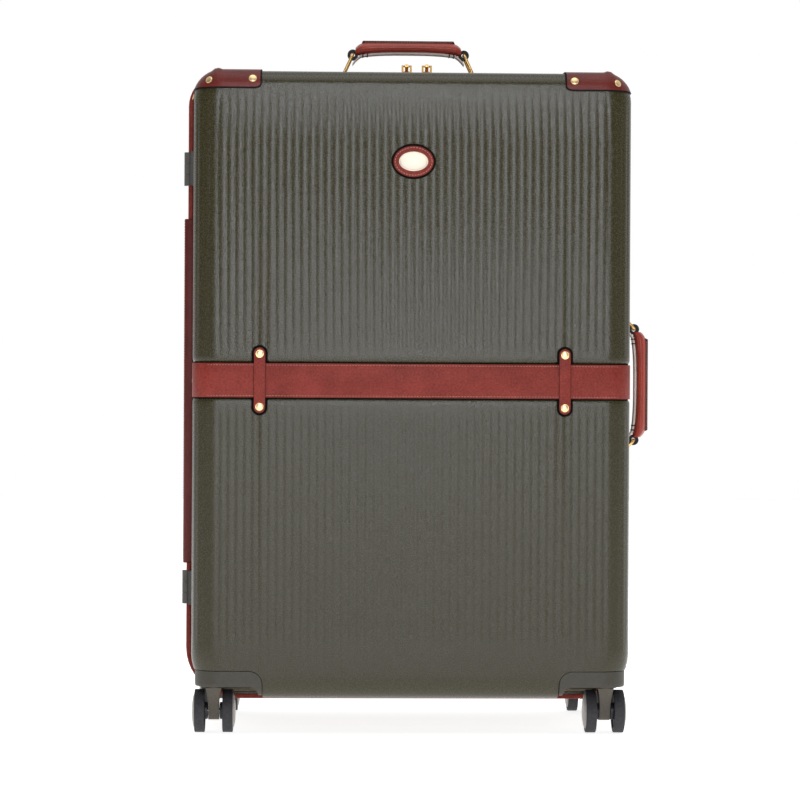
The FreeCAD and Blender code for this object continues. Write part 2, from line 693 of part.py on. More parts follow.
# Carrying handles, modelled with the grip along X and the shell below, then turned into place
def ring_path(height):
    half = RING_WIDTH / 2
    level = half - RING_CORNER
    quarter = [V(level, 0, 0), V(half, 0, RING_CORNER), V(half, 0, height - RING_CORNER), V(level, 0, height)]
    other = [V(-point.x, 0, point.z) for point in reversed(quarter)]
    start = V(0, 0, 0)
    return Part.makePolygon([start] + quarter + other + [start])


def handle_ring(x_sign, rise):
    lower = V(x_sign * EYE_SPREAD, 0, 0)
    along = V(x_sign * LOOP_SPREAD, 0, rise).sub(lower)
    section = octagon(RING_WIRE)
    section.rotate(V(0, 0, 0), V(0, 1, 0), 90)
    right_corners = 1
    ring = ring_path(along.Length).makePipeShell([section], True, False, right_corners)
    up = V(along).normalize()
    turn = FreeCAD.Rotation(V(0, 1, 0), up.cross(V(0, 1, 0)), up, "ZXY")
    ring.Placement = FreeCAD.Placement(lower, turn)
    return ring


def eye_bracket(x_sign):
    center = V(x_sign * EYE_SPREAD, 0, 0)
    hole = RING_WIRE + EYE_CLEARANCE
    outer = hole + 2 * EYE_WIRE
    base_top = EYE_BASE_THICKNESS - EYE_RISE
    plate = Part.makeCylinder(outer, 2 * EYE_WIRE, V(center.x, -EYE_WIRE, 0), V(0, 1, 0))
    plate = plate.fuse(box(center.x - outer, center.x + outer, -EYE_WIRE, EYE_WIRE, -EYE_RISE, 0.0))
    plate = plate.cut(Part.makeCylinder(hole, 2 * EYE_WIRE, V(center.x, -EYE_WIRE, 0), V(0, 1, 0)))
    rims = [edge for edge in plate.removeSplitter().Edges if abs(edge.BoundBox.XLength - 2 * hole) < 0.01]
    plate = plate.removeSplitter().makeChamfer(EYE_CHAMFER, rims)
    half_length = EYE_BASE_LENGTH / 2
    half_width = EYE_BASE_WIDTH / 2
    base = box(center.x - half_length, center.x + half_length, -half_width, half_width,
               -EYE_RISE - EYE_BASE_THICKNESS, base_top)
    upright = [edge for edge in base.Edges if edge.BoundBox.ZLength > EYE_BASE_THICKNESS]
    return base.makeFillet(half_width / 2, upright).fuse(plate)


def handle_loop(x_sign, rise):
    place = V(x_sign * LOOP_SPREAD, -LOOP_WIDTH / 2, rise)
    bore = RING_WIRE + LOOP_CLEARANCE
    outer = Part.makeCylinder(bore + LOOP_WALL, LOOP_WIDTH, place, V(0, 1, 0))
    return outer.cut(Part.makeCylinder(bore, LOOP_WIDTH, place, V(0, 1, 0)))


def grip_reach():
    return LOOP_SPREAD - RING_WIRE - LOOP_CLEARANCE - LOOP_WALL


def grip_underside(x, rise):
    return rise + GRIP_BOW * (1 - (x / grip_reach()) ** 2)


def grip_section(x, rise):
    share = (x / grip_reach()) ** 4
    half = (GRIP_WIDTH + (GRIP_END_WIDTH - GRIP_WIDTH) * share) / 2
    low = grip_underside(x, rise)
    high = low + GRIP_HEIGHT
    flat = half * 0.62
    seam = GRIP_SEAM / 2
    cheek = low + GRIP_HEIGHT * 0.42
    edges = [
        Part.makeLine(V(x, -flat, low), V(x, flat, low)),
        Part.Arc(V(x, flat, low), V(x, half, cheek), V(x, seam, high)).toShape(),
        Part.makeLine(V(x, seam, high), V(x, -seam, high)),
        Part.Arc(V(x, -seam, high), V(x, -half, cheek), V(x, -flat, low)).toShape(),
    ]
    return Part.Wire(edges)


def handle_grip(rise):
    shares = (-1.0, -0.85, -0.45, 0.0, 0.45, 0.85, 1.0)
    sections = [grip_section(share * grip_reach(), rise) for share in shares]
    return Part.makeLoft(sections, True, True)


def grip_lining(rise):
    end_x = grip_reach() * 0.9
    end_z = grip_underside(end_x, rise) - 2 * SEAT_GAP
    middle_z = grip_underside(0.0, rise) - LINING_STRIP_BOW
    side_y = -LINING_STRIP_WIDTH / 2
    upper = [V(-end_x, side_y, end_z), V(0, side_y, middle_z), V(end_x, side_y, end_z)]
    lower = [point.sub(V(0, 0, LINING_STRIP_THICKNESS)) for point in upper]
    edges = [
        Part.Arc(*upper).toShape(),
        Part.makeLine(upper[2], lower[2]),
        Part.Arc(*reversed(lower)).toShape(),
        Part.makeLine(lower[0], upper[0]),
    ]
    return Part.Face(Part.Wire(edges)).extrude(V(0, LINING_STRIP_WIDTH, 0))


def handle_surface_draw():
    return DRAFT * HANDLE_Y / HALF_DEPTH


def top_handle_place():
    level = CASE_TOP - handle_surface_draw() + EYE_RISE
    return FreeCAD.Placement(V(0, HANDLE_Y, level), FreeCAD.Rotation())


def side_handle_place():
    reach = CASE_WIDTH / 2 - handle_surface_draw() + EYE_RISE
    return FreeCAD.Placement(V(reach, HANDLE_Y, SIDE_HANDLE_LEVEL), FreeCAD.Rotation(V(0, 1, 0), 90))


def placed(shape, place):
    moved = shape.copy()
    moved.Placement = place.multiply(moved.Placement)
    return moved


def handle_pieces(prefix, rise, place):
    both = (-1, 1)
    return {
        prefix + "_grip": placed(handle_grip(rise), place),
        prefix + "_grip_lining": placed(grip_lining(rise), place),
        prefix + "_loops": group([placed(handle_loop(sign, rise), place) for sign in both]),
        prefix + "_rings": group([placed(handle_ring(sign, rise), place) for sign in both]),
    }


def handle_brackets():
    shell = half_form(REAR, 0.0)
    brackets = []
    for place in (top_handle_place(), side_handle_place()):
        brackets += [placed(eye_bracket(sign), place).cut(shell) for sign in (-1, 1)]
    return group(brackets)


# Trolley handle behind the rear lining
def trolley_top():
    return CASE_TOP - DRAFT * TROLLEY_Y / HALF_DEPTH


def pocket_floor():
    return trolley_top() - POCKET_DEPTH


def pocket_block(grow, low, high):
    length = BEZEL_LENGTH - 4 * BEZEL_WALL + 2 * grow
    width = BEZEL_WIDTH - 2 * BEZEL_WALL + 2 * grow
    return tube_block(length, width, TUBE_CORNER, low, high, 0.0, TROLLEY_Y)


def bezel_body(grow):
    return pocket_block(grow, pocket_floor() - BEZEL_WALL - grow, trolley_top() + BEZEL_FLANGE)


def tube_sections():
    sections = []
    length = SLEEVE_LENGTH
    width = SLEEVE_WIDTH
    for stage in range(3):
        sections.append((length, width))
        length -= 2 * (TUBE_WALL + TUBE_GAP)
        width -= 2 * (TUBE_WALL + TUBE_GAP)
    return sections


def tube_corner(stage):
    return TUBE_CORNER - stage * TUBE_WALL / 2


def tube(stage, x_sign, top):
    length, width = tube_sections()[stage]
    foot = TUBE_FOOT + stage * TUBE_STEP
    corner = tube_corner(stage)
    place = (x_sign * TROLLEY_SPREAD, TROLLEY_Y)
    outer = tube_block(length, width, corner, foot, top, *place)
    bore = tube_block(length - 2 * TUBE_WALL, width - 2 * TUBE_WALL, corner / 2, foot, top, *place)
    return outer.cut(bore)


def tubes(stage, top):
    return group([tube(stage, x_sign, top) for x_sign in (-1, 1)])


def trolley_bezel():
    flange_top = trolley_top() + BEZEL_FLANGE
    flange_low = trolley_top() - BEZEL_FLANGE
    flange = tube_block(BEZEL_LENGTH, BEZEL_WIDTH, 2 * TUBE_CORNER, flange_low, flange_top, 0.0, TROLLEY_Y)
    bezel = flange.cut(half_form(REAR, 0.0)).fuse(bezel_body(0.0))
    bezel = bezel.cut(pocket_block(-BEZEL_WALL, pocket_floor(), flange_top + 1.0))
    length, width = [size + 2 * TUBE_GAP for size in tube_sections()[1]]
    low = pocket_floor() - 2 * BEZEL_WALL
    high = pocket_floor() + 1.0
    for x_sign in (-1, 1):
        x = x_sign * TROLLEY_SPREAD
        bezel = bezel.cut(tube_block(length, width, tube_corner(1), low, high, x, TROLLEY_Y))
    return bezel


def grip_bar_top():
    return pocket_floor() + GRIP_BAR_GAP + GRIP_BAR_HEIGHT


def button_block(grow, low, high):
    length = BUTTON_LENGTH + 2 * grow
    width = BUTTON_WIDTH + 2 * grow
    return tube_block(length, width, TUBE_CORNER, low, high, 0.0, TROLLEY_Y)


def trolley_grip():
    low = pocket_floor() + GRIP_BAR_GAP
    bar = pocket_block(-BEZEL_WALL - GRIP_BAR_GAP, low, grip_bar_top())
    seat_depth = BUTTON_SEAT + BUTTON_TRAVEL
    return bar.cut(button_block(TUBE_GAP, grip_bar_top() - seat_depth, grip_bar_top() + 1.0))


def trolley_button():
    return button_block(0.0, grip_bar_top() - BUTTON_SEAT, grip_bar_top() + BUTTON_PROUD)


# Cloth inside
def trolley_tunnels(grow):
    half = SLEEVE_LENGTH / 2 + TUNNEL_GAP + grow
    near_y = TROLLEY_Y - SLEEVE_WIDTH / 2 - TUNNEL_GAP - grow
    tunnels = []
    for x_sign in (-1, 1):
        x = x_sign * TROLLEY_SPREAD
        tunnels.append(box(x - half, x + half, near_y, 2 * HALF_DEPTH, 0.0, CASE_TOP))
    pocket_y = TROLLEY_Y - BEZEL_WIDTH / 2 - TUNNEL_GAP - grow
    pocket_low = pocket_floor() - BEZEL_WALL - TUNNEL_GAP - grow
    pocket_half = BEZEL_LENGTH / 2 + grow
    tunnels.append(box(-pocket_half, pocket_half, pocket_y, 2 * HALF_DEPTH, pocket_low, 2 * CASE_TOP))
    return tunnels


def cloth_form(side, inset, rim):
    return mirrored(eased_block("Part::Chamfer", inset, rim), 1, side)


def lining(side):
    rim = SEAM_HALF_GAP + TAPE_FLANGE + TUBE_GAP
    outer_grow = HOUSING_SEAM + SEAT_GAP
    outer = cloth_form(side, WALL + SEAT_GAP, rim)
    outer = outer.cut([housing_region(x_sign, side, outer_grow) for x_sign in (-1, 1)])
    inner = cloth_form(side, WALL + SEAT_GAP + LINING_THICKNESS, 0.0)
    inner_grow = outer_grow + LINING_THICKNESS
    inner = inner.cut([housing_region(x_sign, side, inner_grow) for x_sign in (-1, 1)])
    if side == REAR:
        outer = outer.cut(trolley_tunnels(0.0))
        inner = inner.cut(trolley_tunnels(LINING_THICKNESS))
    return outer.cut(inner)


def packing_straps():
    face_y = TROLLEY_Y - SLEEVE_WIDTH / 2 - TUNNEL_GAP - LINING_THICKNESS - SEAT_GAP
    near_y = face_y - STRAP_THICKNESS
    half = STRAP_WIDTH / 2
    middle = (STRAP_LOW + STRAP_HIGH) / 2
    straps = box(-TROLLEY_SPREAD, TROLLEY_SPREAD, near_y, face_y, middle - half, middle + half)
    for x_sign in (-1, 1):
        x = x_sign * TROLLEY_SPREAD
        straps = straps.fuse(box(x - half, x + half, near_y, face_y, STRAP_LOW, STRAP_HIGH))
    buckle = box(-BUCKLE_LENGTH / 2, BUCKLE_LENGTH / 2, near_y - BUCKLE_THICKNESS, near_y,
                 middle - BUCKLE_HEIGHT / 2, middle + BUCKLE_HEIGHT / 2)
    along_depth = [edge for edge in buckle.Edges if edge.BoundBox.YLength > BUCKLE_THICKNESS / 2]
    buckle = buckle.makeFillet(BUCKLE_THICKNESS, along_depth)
    return group([straps.removeSplitter(), buckle])


# All the pieces by name
def fixed_pieces():
    both = (-1, 1)
    pieces = {"front_shell": front_shell(), "rear_shell": rear_shell()}
    for side, name in ((FRONT, "front"), (REAR, "rear")):
        pieces[name + "_lining"] = lining(side)
        pieces[name + "_belt"] = belt(side)
        pieces[name + "_corner_caps"] = group([corner_cap(x_sign, side) for x_sign in both])
        pieces[name + "_rivets"] = rivets(side)
        pieces[name + "_housings"] = group([wheel_housing(x_sign, side) for x_sign in both])
        pieces[name + "_zip_tape"] = zip_tape(side)
        pieces[name + "_zip_teeth"] = zip_teeth(side)
        pieces[name + "_hinge_leaves"] = group([hinge_leaf(level, side) for level in (HINGE_LOW, HINGE_HIGH)])
    pieces["belt_keepers"] = group([keeper(x_sign) for x_sign in both])
    pieces["badge_pad"] = badge_pad()
    pieces["badge_plate"] = badge_plate()
    pieces["hinge_pins"] = group([hinge_pin(level) for level in (HINGE_LOW, HINGE_HIGH)])
    pieces["hinge_strip"] = hinge_strip()
    pieces["handle_brackets"] = handle_brackets()
    pieces["packing_straps"] = packing_straps()
    return pieces


def moving_pieces():
    pieces = {}
    pieces.update(handle_pieces("top", TOP_LOOP_RISE, top_handle_place()))
    pieces.update(handle_pieces("side", SIDE_LOOP_RISE, side_handle_place()))
    for x_sign, name in ((-1, "left"), (1, "right")):
        pieces["zip_slider_" + name] = zip_slider(x_sign)
        pieces["zip_pull_" + name] = zip_pull(x_sign)
    pieces["trolley_bezel"] = trolley_bezel()
    pieces["trolley_sleeves"] = tubes(0, pocket_floor() - BEZEL_WALL)
    pieces["trolley_mid_tubes"] = tubes(1, pocket_floor())
    pieces["trolley_inner_tubes"] = tubes(2, pocket_floor() + GRIP_BAR_GAP)
    pieces["trolley_grip"] = trolley_grip()
    pieces["trolley_button"] = trolley_button()
    return pieces


def caster_pieces():
    pieces = {}
    for side, end in ((FRONT, "front"), (REAR, "rear")):
        for x_sign, hand in ((-1, "left"), (1, "right")):
            place = V(x_sign * CASTER_X, side * CASTER_Y, 0)
            name = end + "_" + hand
            pieces["fork_" + name] = caster_fork().translated(place)
            pieces["axle_" + name] = axle_rod(AXLE_RADIUS, axle_length() - 1.0).translated(place)
            pieces["wheel_" + name + "_a"] = wheel(-1).translated(place)
            pieces["wheel_" + name + "_b"] = wheel(1).translated(place)
    return pieces


def main():
    os.makedirs("parts", exist_ok=True)
    pieces = fixed_pieces()
    pieces.update(moving_pieces())
    pieces.update(caster_pieces())
    whole = group(list(pieces.values())).optimalBoundingBox(False)
    to_origin = V(-whole.Center.x, -whole.Center.y, -whole.ZMin)
    print("moved to the middle of the base by", to_origin)
    for name, shape in pieces.items():
        shape.translated(to_origin).exportStep("parts/" + name + ".step")
    print(len(pieces), "pieces, overall size", whole.XLength, whole.YLength, whole.ZLength)


main()
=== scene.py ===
# %% [markdown]
# A hard-shell suitcase on swivelling casters, with a leather belt, leather corner caps, brass rivets
# and leather carrying handles. The measured model comes in first as a fixed frame. Everything that
# follows is made in metres and in the frame's own coordinates, so nothing needs to be fitted later.

# %% Load the frame
import math

import bmesh
import bpy
from mathutils import Matrix, Vector


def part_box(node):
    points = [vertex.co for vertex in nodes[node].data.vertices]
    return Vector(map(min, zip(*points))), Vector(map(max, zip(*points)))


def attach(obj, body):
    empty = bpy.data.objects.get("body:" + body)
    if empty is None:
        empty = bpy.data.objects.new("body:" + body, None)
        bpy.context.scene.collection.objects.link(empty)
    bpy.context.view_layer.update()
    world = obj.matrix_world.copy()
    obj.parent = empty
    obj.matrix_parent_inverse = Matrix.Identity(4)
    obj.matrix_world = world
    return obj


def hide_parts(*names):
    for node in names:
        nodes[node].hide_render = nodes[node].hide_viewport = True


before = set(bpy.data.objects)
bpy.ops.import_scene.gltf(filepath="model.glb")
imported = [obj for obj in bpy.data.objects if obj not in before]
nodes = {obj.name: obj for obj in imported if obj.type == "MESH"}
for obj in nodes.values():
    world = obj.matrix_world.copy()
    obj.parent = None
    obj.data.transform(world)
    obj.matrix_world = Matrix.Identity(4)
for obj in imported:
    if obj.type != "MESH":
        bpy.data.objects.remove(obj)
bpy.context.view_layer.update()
bpy.ops.object.select_all(action="DESELECT")
MM = 0.001
TOUCH = 1e-5
FACING = 0.9

# %% [markdown]
# The case's own landmarks are read from the front shell: its middle across, the plane of the seam
# between the two halves, and the front face. All later pieces hang on these few values.

# %% Landmarks of the case
shell_low, shell_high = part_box("front_shell")
CASE_MIDDLE = (shell_low.x + shell_high.x) / 2
SEAM_HALF_GAP = 6 * MM
SEAM = shell_high.y + SEAM_HALF_GAP
CASE_HALF_WIDTH = 258 * MM
CASE_TOP = 772 * MM
CASE_BOTTOM = 38 * MM
HALF_DEPTH = 150 * MM
DRAFT = 5 * MM
TOP_CORNER = 33 * MM
BOTTOM_CORNER = 52 * MM
TOP_EDGE = 14 * MM
SIDE_EDGE = 28 * MM
BELT_LEVEL = 410 * MM
STRAIGHT = CASE_HALF_WIDTH - DRAFT - SIDE_EDGE
TURN_DEPTH = HALF_DEPTH - SIDE_EDGE
FRONT, REAR = -1, 1
ENDS = {FRONT: "front", REAR: "rear"}
HALVES = {FRONT: "lid", REAR: "rear_half"}
print("middle", round(CASE_MIDDLE, 4), "seam", round(SEAM, 4), "face", round(shell_low.y, 4))

# %% [markdown]
# The photograph was taken from far away with a long lens, at about the height of the belt, a little
# to the left of the case. A long lens keeps the sides nearly parallel, so the distance matters more
# than the exact focal length: it sets how much smaller the rear casters look than the front ones.

# %% Camera
CAMERA_DISTANCE = 3.2
CAMERA_HEIGHT = 0.395
CAMERA_TURN = math.radians(1.9)
CAMERA_ROLL = math.radians(-0.3)
LENS_PIXELS = 2778
FRAME_PIXELS = 800
LEFT_OF_MIDDLE = 14.3 * MM
HORIZON_PIXEL = 394

camera_data = bpy.data.cameras.new("photo_camera")
camera_data.sensor_width = 36
camera_data.lens = 36 * LENS_PIXELS / FRAME_PIXELS
camera_data.shift_y = (HORIZON_PIXEL - FRAME_PIXELS / 2) / FRAME_PIXELS
camera = bpy.data.objects.new("photo_camera", camera_data)
bpy.context.scene.collection.objects.link(camera)
face_centre = Vector((CASE_MIDDLE, shell_low.y, CAMERA_HEIGHT))
view_right = Vector((math.cos(CAMERA_TURN), -math.sin(CAMERA_TURN), 0))
view_ahead = Vector((math.sin(CAMERA_TURN), math.cos(CAMERA_TURN), 0))
camera.location = face_centre - view_ahead * CAMERA_DISTANCE - view_right * LEFT_OF_MIDDLE
camera.rotation_euler = (math.pi / 2, CAMERA_ROLL, -CAMERA_TURN)
bpy.context.scene.camera = camera
print("camera at", [round(value, 3) for value in camera.location])

# %% [markdown]
# A catalogue picture on white: the wall behind is bright, the room in front of the case is darker, one
# large soft lamp stands by the camera and a second one hangs above. The front lamp puts the pale haze on
# the dark face, the darker room keeps the rounded edges deep, and the bright wall draws a thin light line
# along the outline. The floor is a white sheet that is lit from within, as on a light table, so that the
# shadow on it stays faint.

# %% Light and floor
WALL_LIGHT, ROOM_LIGHT, WALL_SIDE = 0.75, 0.12, (0.2, 1, 0.55)
FLOOR_SIZE, FLOOR_WHITE, FLOOR_GLOW = 14.0, 0.9, 0.8
scene = bpy.context.scene
scene.view_settings.view_transform = "Standard"
world = bpy.data.worlds.new("white_studio")
world.use_nodes = True
sky = world.node_tree
lit_room = sky.nodes["Background"]
white_wall = sky.nodes.new("ShaderNodeBackground")
white_wall.inputs["Color"].default_value = (1, 1, 1, 1)
lit_room.inputs["Color"].default_value = (1, 1, 1, 1)
direction = sky.nodes.new("ShaderNodeTexCoord")
towards_wall = sky.nodes.new("ShaderNodeVectorMath")
towards_wall.operation = "DOT_PRODUCT"
towards_wall.inputs[1].default_value = WALL_SIDE
brightness = sky.nodes.new("ShaderNodeMapRange")
WALL_RANGE = {"From Min": -0.2, "From Max": 0.7, "To Min": ROOM_LIGHT, "To Max": WALL_LIGHT}
for socket, value in WALL_RANGE.items():
    brightness.inputs[socket].default_value = value
seen_directly = sky.nodes.new("ShaderNodeLightPath")
choice = sky.nodes.new("ShaderNodeMixShader")
sky.links.new(direction.outputs["Generated"], towards_wall.inputs[0])
sky.links.new(towards_wall.outputs["Value"], brightness.inputs["Value"])
sky.links.new(brightness.outputs["Result"], lit_room.inputs["Strength"])
sky.links.new(seen_directly.outputs["Is Camera Ray"], choice.inputs[0])
sky.links.new(lit_room.outputs[0], choice.inputs[1])
sky.links.new(white_wall.outputs[0], choice.inputs[2])
sky.links.new(choice.outputs[0], sky.nodes["World Output"].inputs["Surface"])
scene.world = world


def soft_lamp(name, place, target, power, width, height, colour=(1, 1, 1)):
    lamp_data = bpy.data.lights.new(name, "AREA")
    lamp_data.energy = power
    lamp_data.color = colour
    lamp_data.shape = "ELLIPSE"
    lamp_data.size = width
    lamp_data.size_y = height
    lamp = bpy.data.objects.new(name, lamp_data)
    lamp.location = place
    lamp.rotation_euler = (Vector(target) - Vector(place)).to_track_quat("-Z", "Y").to_euler()
    scene.collection.objects.link(lamp)


LIT_SPOT = (0, 0, 0.6)
soft_lamp("key_lamp", (0.08, -3.75, 1.12), LIT_SPOT, power=34, width=0.95, height=1.62,
          colour=(0.94, 0.97, 1.06))
soft_lamp("top_lamp", (0.0, -0.9, 3.0), LIT_SPOT, power=26, width=3.2, height=2.6)

bpy.ops.mesh.primitive_grid_add(x_subdivisions=4, y_subdivisions=4, size=FLOOR_SIZE)
floor = bpy.context.object
floor.name = "studio_floor"
floor_finish = bpy.data.materials.new("white_floor")
floor_finish.use_nodes = True
floor_shader = floor_finish.node_tree.nodes["Principled BSDF"]
floor_shader.inputs["Base Color"].default_value = (FLOOR_WHITE, FLOOR_WHITE, FLOOR_WHITE, 1)
floor_shader.inputs["Roughness"].default_value = 0.9
floor_shader.inputs["Emission Color"].default_value = (1, 1, 1, 1)
floor_shader.inputs["Emission Strength"].default_value = FLOOR_GLOW
floor.data.materials.append(floor_finish)

# %% [markdown]
# Finishes come before pieces. A small set of helpers wires the nodes: one makes the shader, one makes
# a noise, one mixes two colours by a pattern, one lays heights into the shader's normal, and one lets the
# gloss follow a pattern. All patterns read Object coordinates, so they stay with the piece in every pose.

# %% Helpers for finishes
def new_finish(name, roughness, metallic=0.0):
    finish = bpy.data.materials.new(name)
    finish.use_nodes = True
    shader = finish.node_tree.nodes["Principled BSDF"]
    shader.inputs["Roughness"].default_value = roughness
    shader.inputs["Metallic"].default_value = metallic
    return finish, shader


def add_node(finish, kind, **values):
    node = finish.node_tree.nodes.new(kind)
    for key, value in values.items():
        if key in node.inputs:
            node.inputs[key].default_value = value
        else:
            setattr(node, key, value)
    return node


def connect(finish, source, target):
    finish.node_tree.links.new(source, target)


def object_place(finish, stretch=(1, 1, 1)):
    place = add_node(finish, "ShaderNodeTexCoord")
    mapping = add_node(finish, "ShaderNodeMapping", Scale=stretch)
    connect(finish, place.outputs["Object"], mapping.inputs["Vector"])
    return mapping.outputs["Vector"]


def grain(finish, place, scale, detail=2.0, roughness=0.55):
    noise = add_node(finish, "ShaderNodeTexNoise", Scale=scale, Detail=detail, Roughness=roughness)
    connect(finish, place, noise.inputs["Vector"])
    return noise.outputs["Fac"]


def two_tone(finish, pattern, dark, light, low=0.35, high=0.65):
    ramp = add_node(finish, "ShaderNodeValToRGB")
    ramp.color_ramp.elements[0].position = low
    ramp.color_ramp.elements[0].color = (*dark, 1)
    ramp.color_ramp.elements[1].position = high
    ramp.color_ramp.elements[1].color = (*light, 1)
    connect(finish, pattern, ramp.inputs["Fac"])
    return ramp.outputs["Color"]


def relief(finish, shader, heights, strength=1.0):
    normal = None
    for height, depth in heights:
        bump = add_node(finish, "ShaderNodeBump", Strength=strength, Distance=depth)
        connect(finish, height, bump.inputs["Height"])
        if normal is not None:
            connect(finish, normal, bump.inputs["Normal"])
        normal = bump.outputs["Normal"]
    connect(finish, normal, shader.inputs["Normal"])


def vary_gloss(finish, shader, pattern, limits, roughness):
    gloss = add_node(finish, "ShaderNodeMapRange")
    for socket, value in zip(("From Min", "From Max", "To Min", "To Max"), (*limits, *roughness)):
        gloss.inputs[socket].default_value = value
    connect(finish, pattern, gloss.inputs["Value"])
    connect(finish, gloss.outputs["Result"], shader.inputs["Roughness"])


# %% [markdown]
# The shells are moulded polycarbonate: a dark olive that looks grey where the white studio is
# reflected. The mould is finely grained, and the grain is what breaks the reflection into a haze. Two
# noises make it, one the size of a pinhead and one finer. The coarse one also mixes a lighter and a darker
# tone and, on the shells, lets the gloss vary from grain to grain.

# %% Moulded plastic
def moulded_plastic(name, dark, light, roughness, depth, scale, spread=0.0):
    finish, shader = new_finish(name, roughness)
    place = object_place(finish)
    coarse = grain(finish, place, scale * 0.42, 1.0)
    connect(finish, two_tone(finish, coarse, dark, light, 0.36, 0.64), shader.inputs["Base Color"])
    fine = grain(finish, place, scale, 2.0)
    relief(finish, shader, ((coarse, depth), (fine, depth * 0.2)))
    if spread:
        vary_gloss(finish, shader, coarse, (0.35, 0.65), (roughness - spread, roughness + spread))
    return finish


SHELL_FINISH = moulded_plastic("grained_shell", (0.026, 0.0222, 0.006), (0.042, 0.0365, 0.0125),
                              0.25, 0.27 * MM, 1750, 0.09)
HOUSING_FINISH = moulded_plastic("housing_plastic", (0.042, 0.037, 0.025), (0.052, 0.046, 0.032),
                                 0.5, 0.12 * MM, 900)
FORK_FINISH = moulded_plastic("fork_plastic", (0.08, 0.067, 0.048), (0.096, 0.08, 0.058),
                              0.5, 0.1 * MM, 900)
HINGE_FINISH = moulded_plastic("hinge_plastic", (0.084, 0.079, 0.07), (0.1, 0.094, 0.083),
                               0.5, 0.1 * MM, 900)
DARK_FINISH = moulded_plastic("dark_plastic", (0.012, 0.012, 0.012), (0.02, 0.02, 0.02),
                              0.42, 0.1 * MM, 900)
TYRE_FINISH = moulded_plastic("tyre_rubber", (0.022, 0.021, 0.025), (0.034, 0.032, 0.036),
                              0.7, 0.15 * MM, 700)
HUB_FINISH = moulded_plastic("hub_plastic", (0.3, 0.275, 0.25), (0.36, 0.33, 0.3), 0.35, 0.08 * MM, 900)

# %% [markdown]
# The leather is a smooth chestnut hide. Its pores are small cells, its colour drifts between a darker
# and a redder brown with the wrinkles, and a thin clear dressing gives it a soft shine. Cut edges are
# painted black. The floors of the gaps round the belt, the keepers and the badge get a near-black painted
# shadow, and both the black paint and the painted shadow reflect very little.

# %% Leather
DRIFT_SCALE, WRINKLE_SCALE, PORE_SCALE = 30.0, 420.0, 900.0
WRINKLE_SHARE = 0.6


def leather(name, dark, light, roughness, depth, shine=0.04):
    finish, shader = new_finish(name, roughness)
    place = object_place(finish)
    drift = grain(finish, place, DRIFT_SCALE, 4.0, 0.6)
    cells = add_node(finish, "ShaderNodeTexVoronoi", Scale=PORE_SCALE)
    connect(finish, place, cells.inputs["Vector"])
    wrinkles = grain(finish, place, WRINKLE_SCALE, 3.0, 0.7)
    blend = add_node(finish, "ShaderNodeMix")
    blend.inputs["Factor"].default_value = WRINKLE_SHARE
    connect(finish, drift, blend.inputs["A"])
    connect(finish, wrinkles, blend.inputs["B"])
    tone = two_tone(finish, blend.outputs["Result"], dark, light, 0.38, 0.62)
    connect(finish, tone, shader.inputs["Base Color"])
    relief(finish, shader, ((wrinkles, depth), (cells.outputs["Distance"], depth)))
    shader.inputs["Specular IOR Level"].default_value = 0.2
    shader.inputs["Coat Weight"].default_value = shine
    shader.inputs["Coat Roughness"].default_value = 0.25
    return finish


CHESTNUT = leather("chestnut_leather", (0.165, 0.018, 0.011), (0.29, 0.04, 0.028), 0.44, 0.34 * MM)
CAP_LEATHER = leather("dark_chestnut_leather", (0.1, 0.0135, 0.01), (0.165, 0.024, 0.018),
                      0.34, 0.2 * MM, 0.12)
# Painted light: the grips are the same chestnut hide, coloured lighter to stand in for the extra light they
# catch from above.
LIT_GRIP_LEATHER = leather("chestnut_leather_painted_lit", (0.3, 0.036, 0.02), (0.43, 0.06, 0.036),
                       0.3, 0.2 * MM, 0.3)
DARK_LEATHER = leather("seam_leather", (0.035, 0.008, 0.007), (0.06, 0.012, 0.01), 0.4, 0.2 * MM)
BLACK_LEATHER = leather("black_leather", (0.006, 0.0055, 0.005), (0.014, 0.012, 0.011), 0.4, 0.2 * MM)
PALE_LEATHER = leather("pale_suede", (0.66, 0.56, 0.5), (0.84, 0.75, 0.69), 0.75, 0.2 * MM)
# Black edge paint for the leather's cut edges and the thread bars; the rivets' collars use the same black
# as a painted shadow round each head.
EDGE_PAINT_AND_SHADE = moulded_plastic("black_edge_paint_and_shade", (0.004, 0.0035, 0.0035), (0.008, 0.007, 0.006),
                             0.6, 0.05 * MM, 500)
# Painted shadow: near-black colour on the floors of the belt channel and of the keeper and badge moats,
# standing in for the shade inside them.
PAINTED_GAP_SHADOW = moulded_plastic("painted_shadow_in_gaps", (0.003, 0.0028, 0.002), (0.005, 0.0045, 0.0035),
                             0.8, 0.05 * MM, 500)
for dull in (EDGE_PAINT_AND_SHADE, PAINTED_GAP_SHADOW):
    dull.node_tree.nodes["Principled BSDF"].inputs["Specular IOR Level"].default_value = 0.1
PALE_THREAD = moulded_plastic("pale_thread", (0.3, 0.13, 0.1), (0.46, 0.24, 0.2), 0.5, 0.1 * MM, 2600)
THREAD = moulded_plastic("waxed_thread", (0.05, 0.014, 0.01), (0.085, 0.028, 0.02), 0.6, 0.1 * MM, 2600)

# %% [markdown]
# The fittings are polished brass, warm and bright. Polishing leaves faint scratches, so the roughness
# itself changes over the surface. Steel and aluminium use the same recipe with other colours.

# %% Metals
SCRATCH_DEPTH, SCRATCH_SHADE = 0.004 * MM, 0.96


def polished_metal(name, colour, low_roughness, high_roughness, scratch=(600, 600, 60)):
    finish, shader = new_finish(name, low_roughness, 1.0)
    place = object_place(finish, scratch)
    marks = grain(finish, place, 1.0, 4.0)
    tone = two_tone(finish, marks, [part * SCRATCH_SHADE for part in colour], colour, 0.3, 0.7)
    connect(finish, tone, shader.inputs["Base Color"])
    vary_gloss(finish, shader, marks, (0, 1), (low_roughness, high_roughness))
    relief(finish, shader, ((marks, SCRATCH_DEPTH),), 0.5)
    return finish


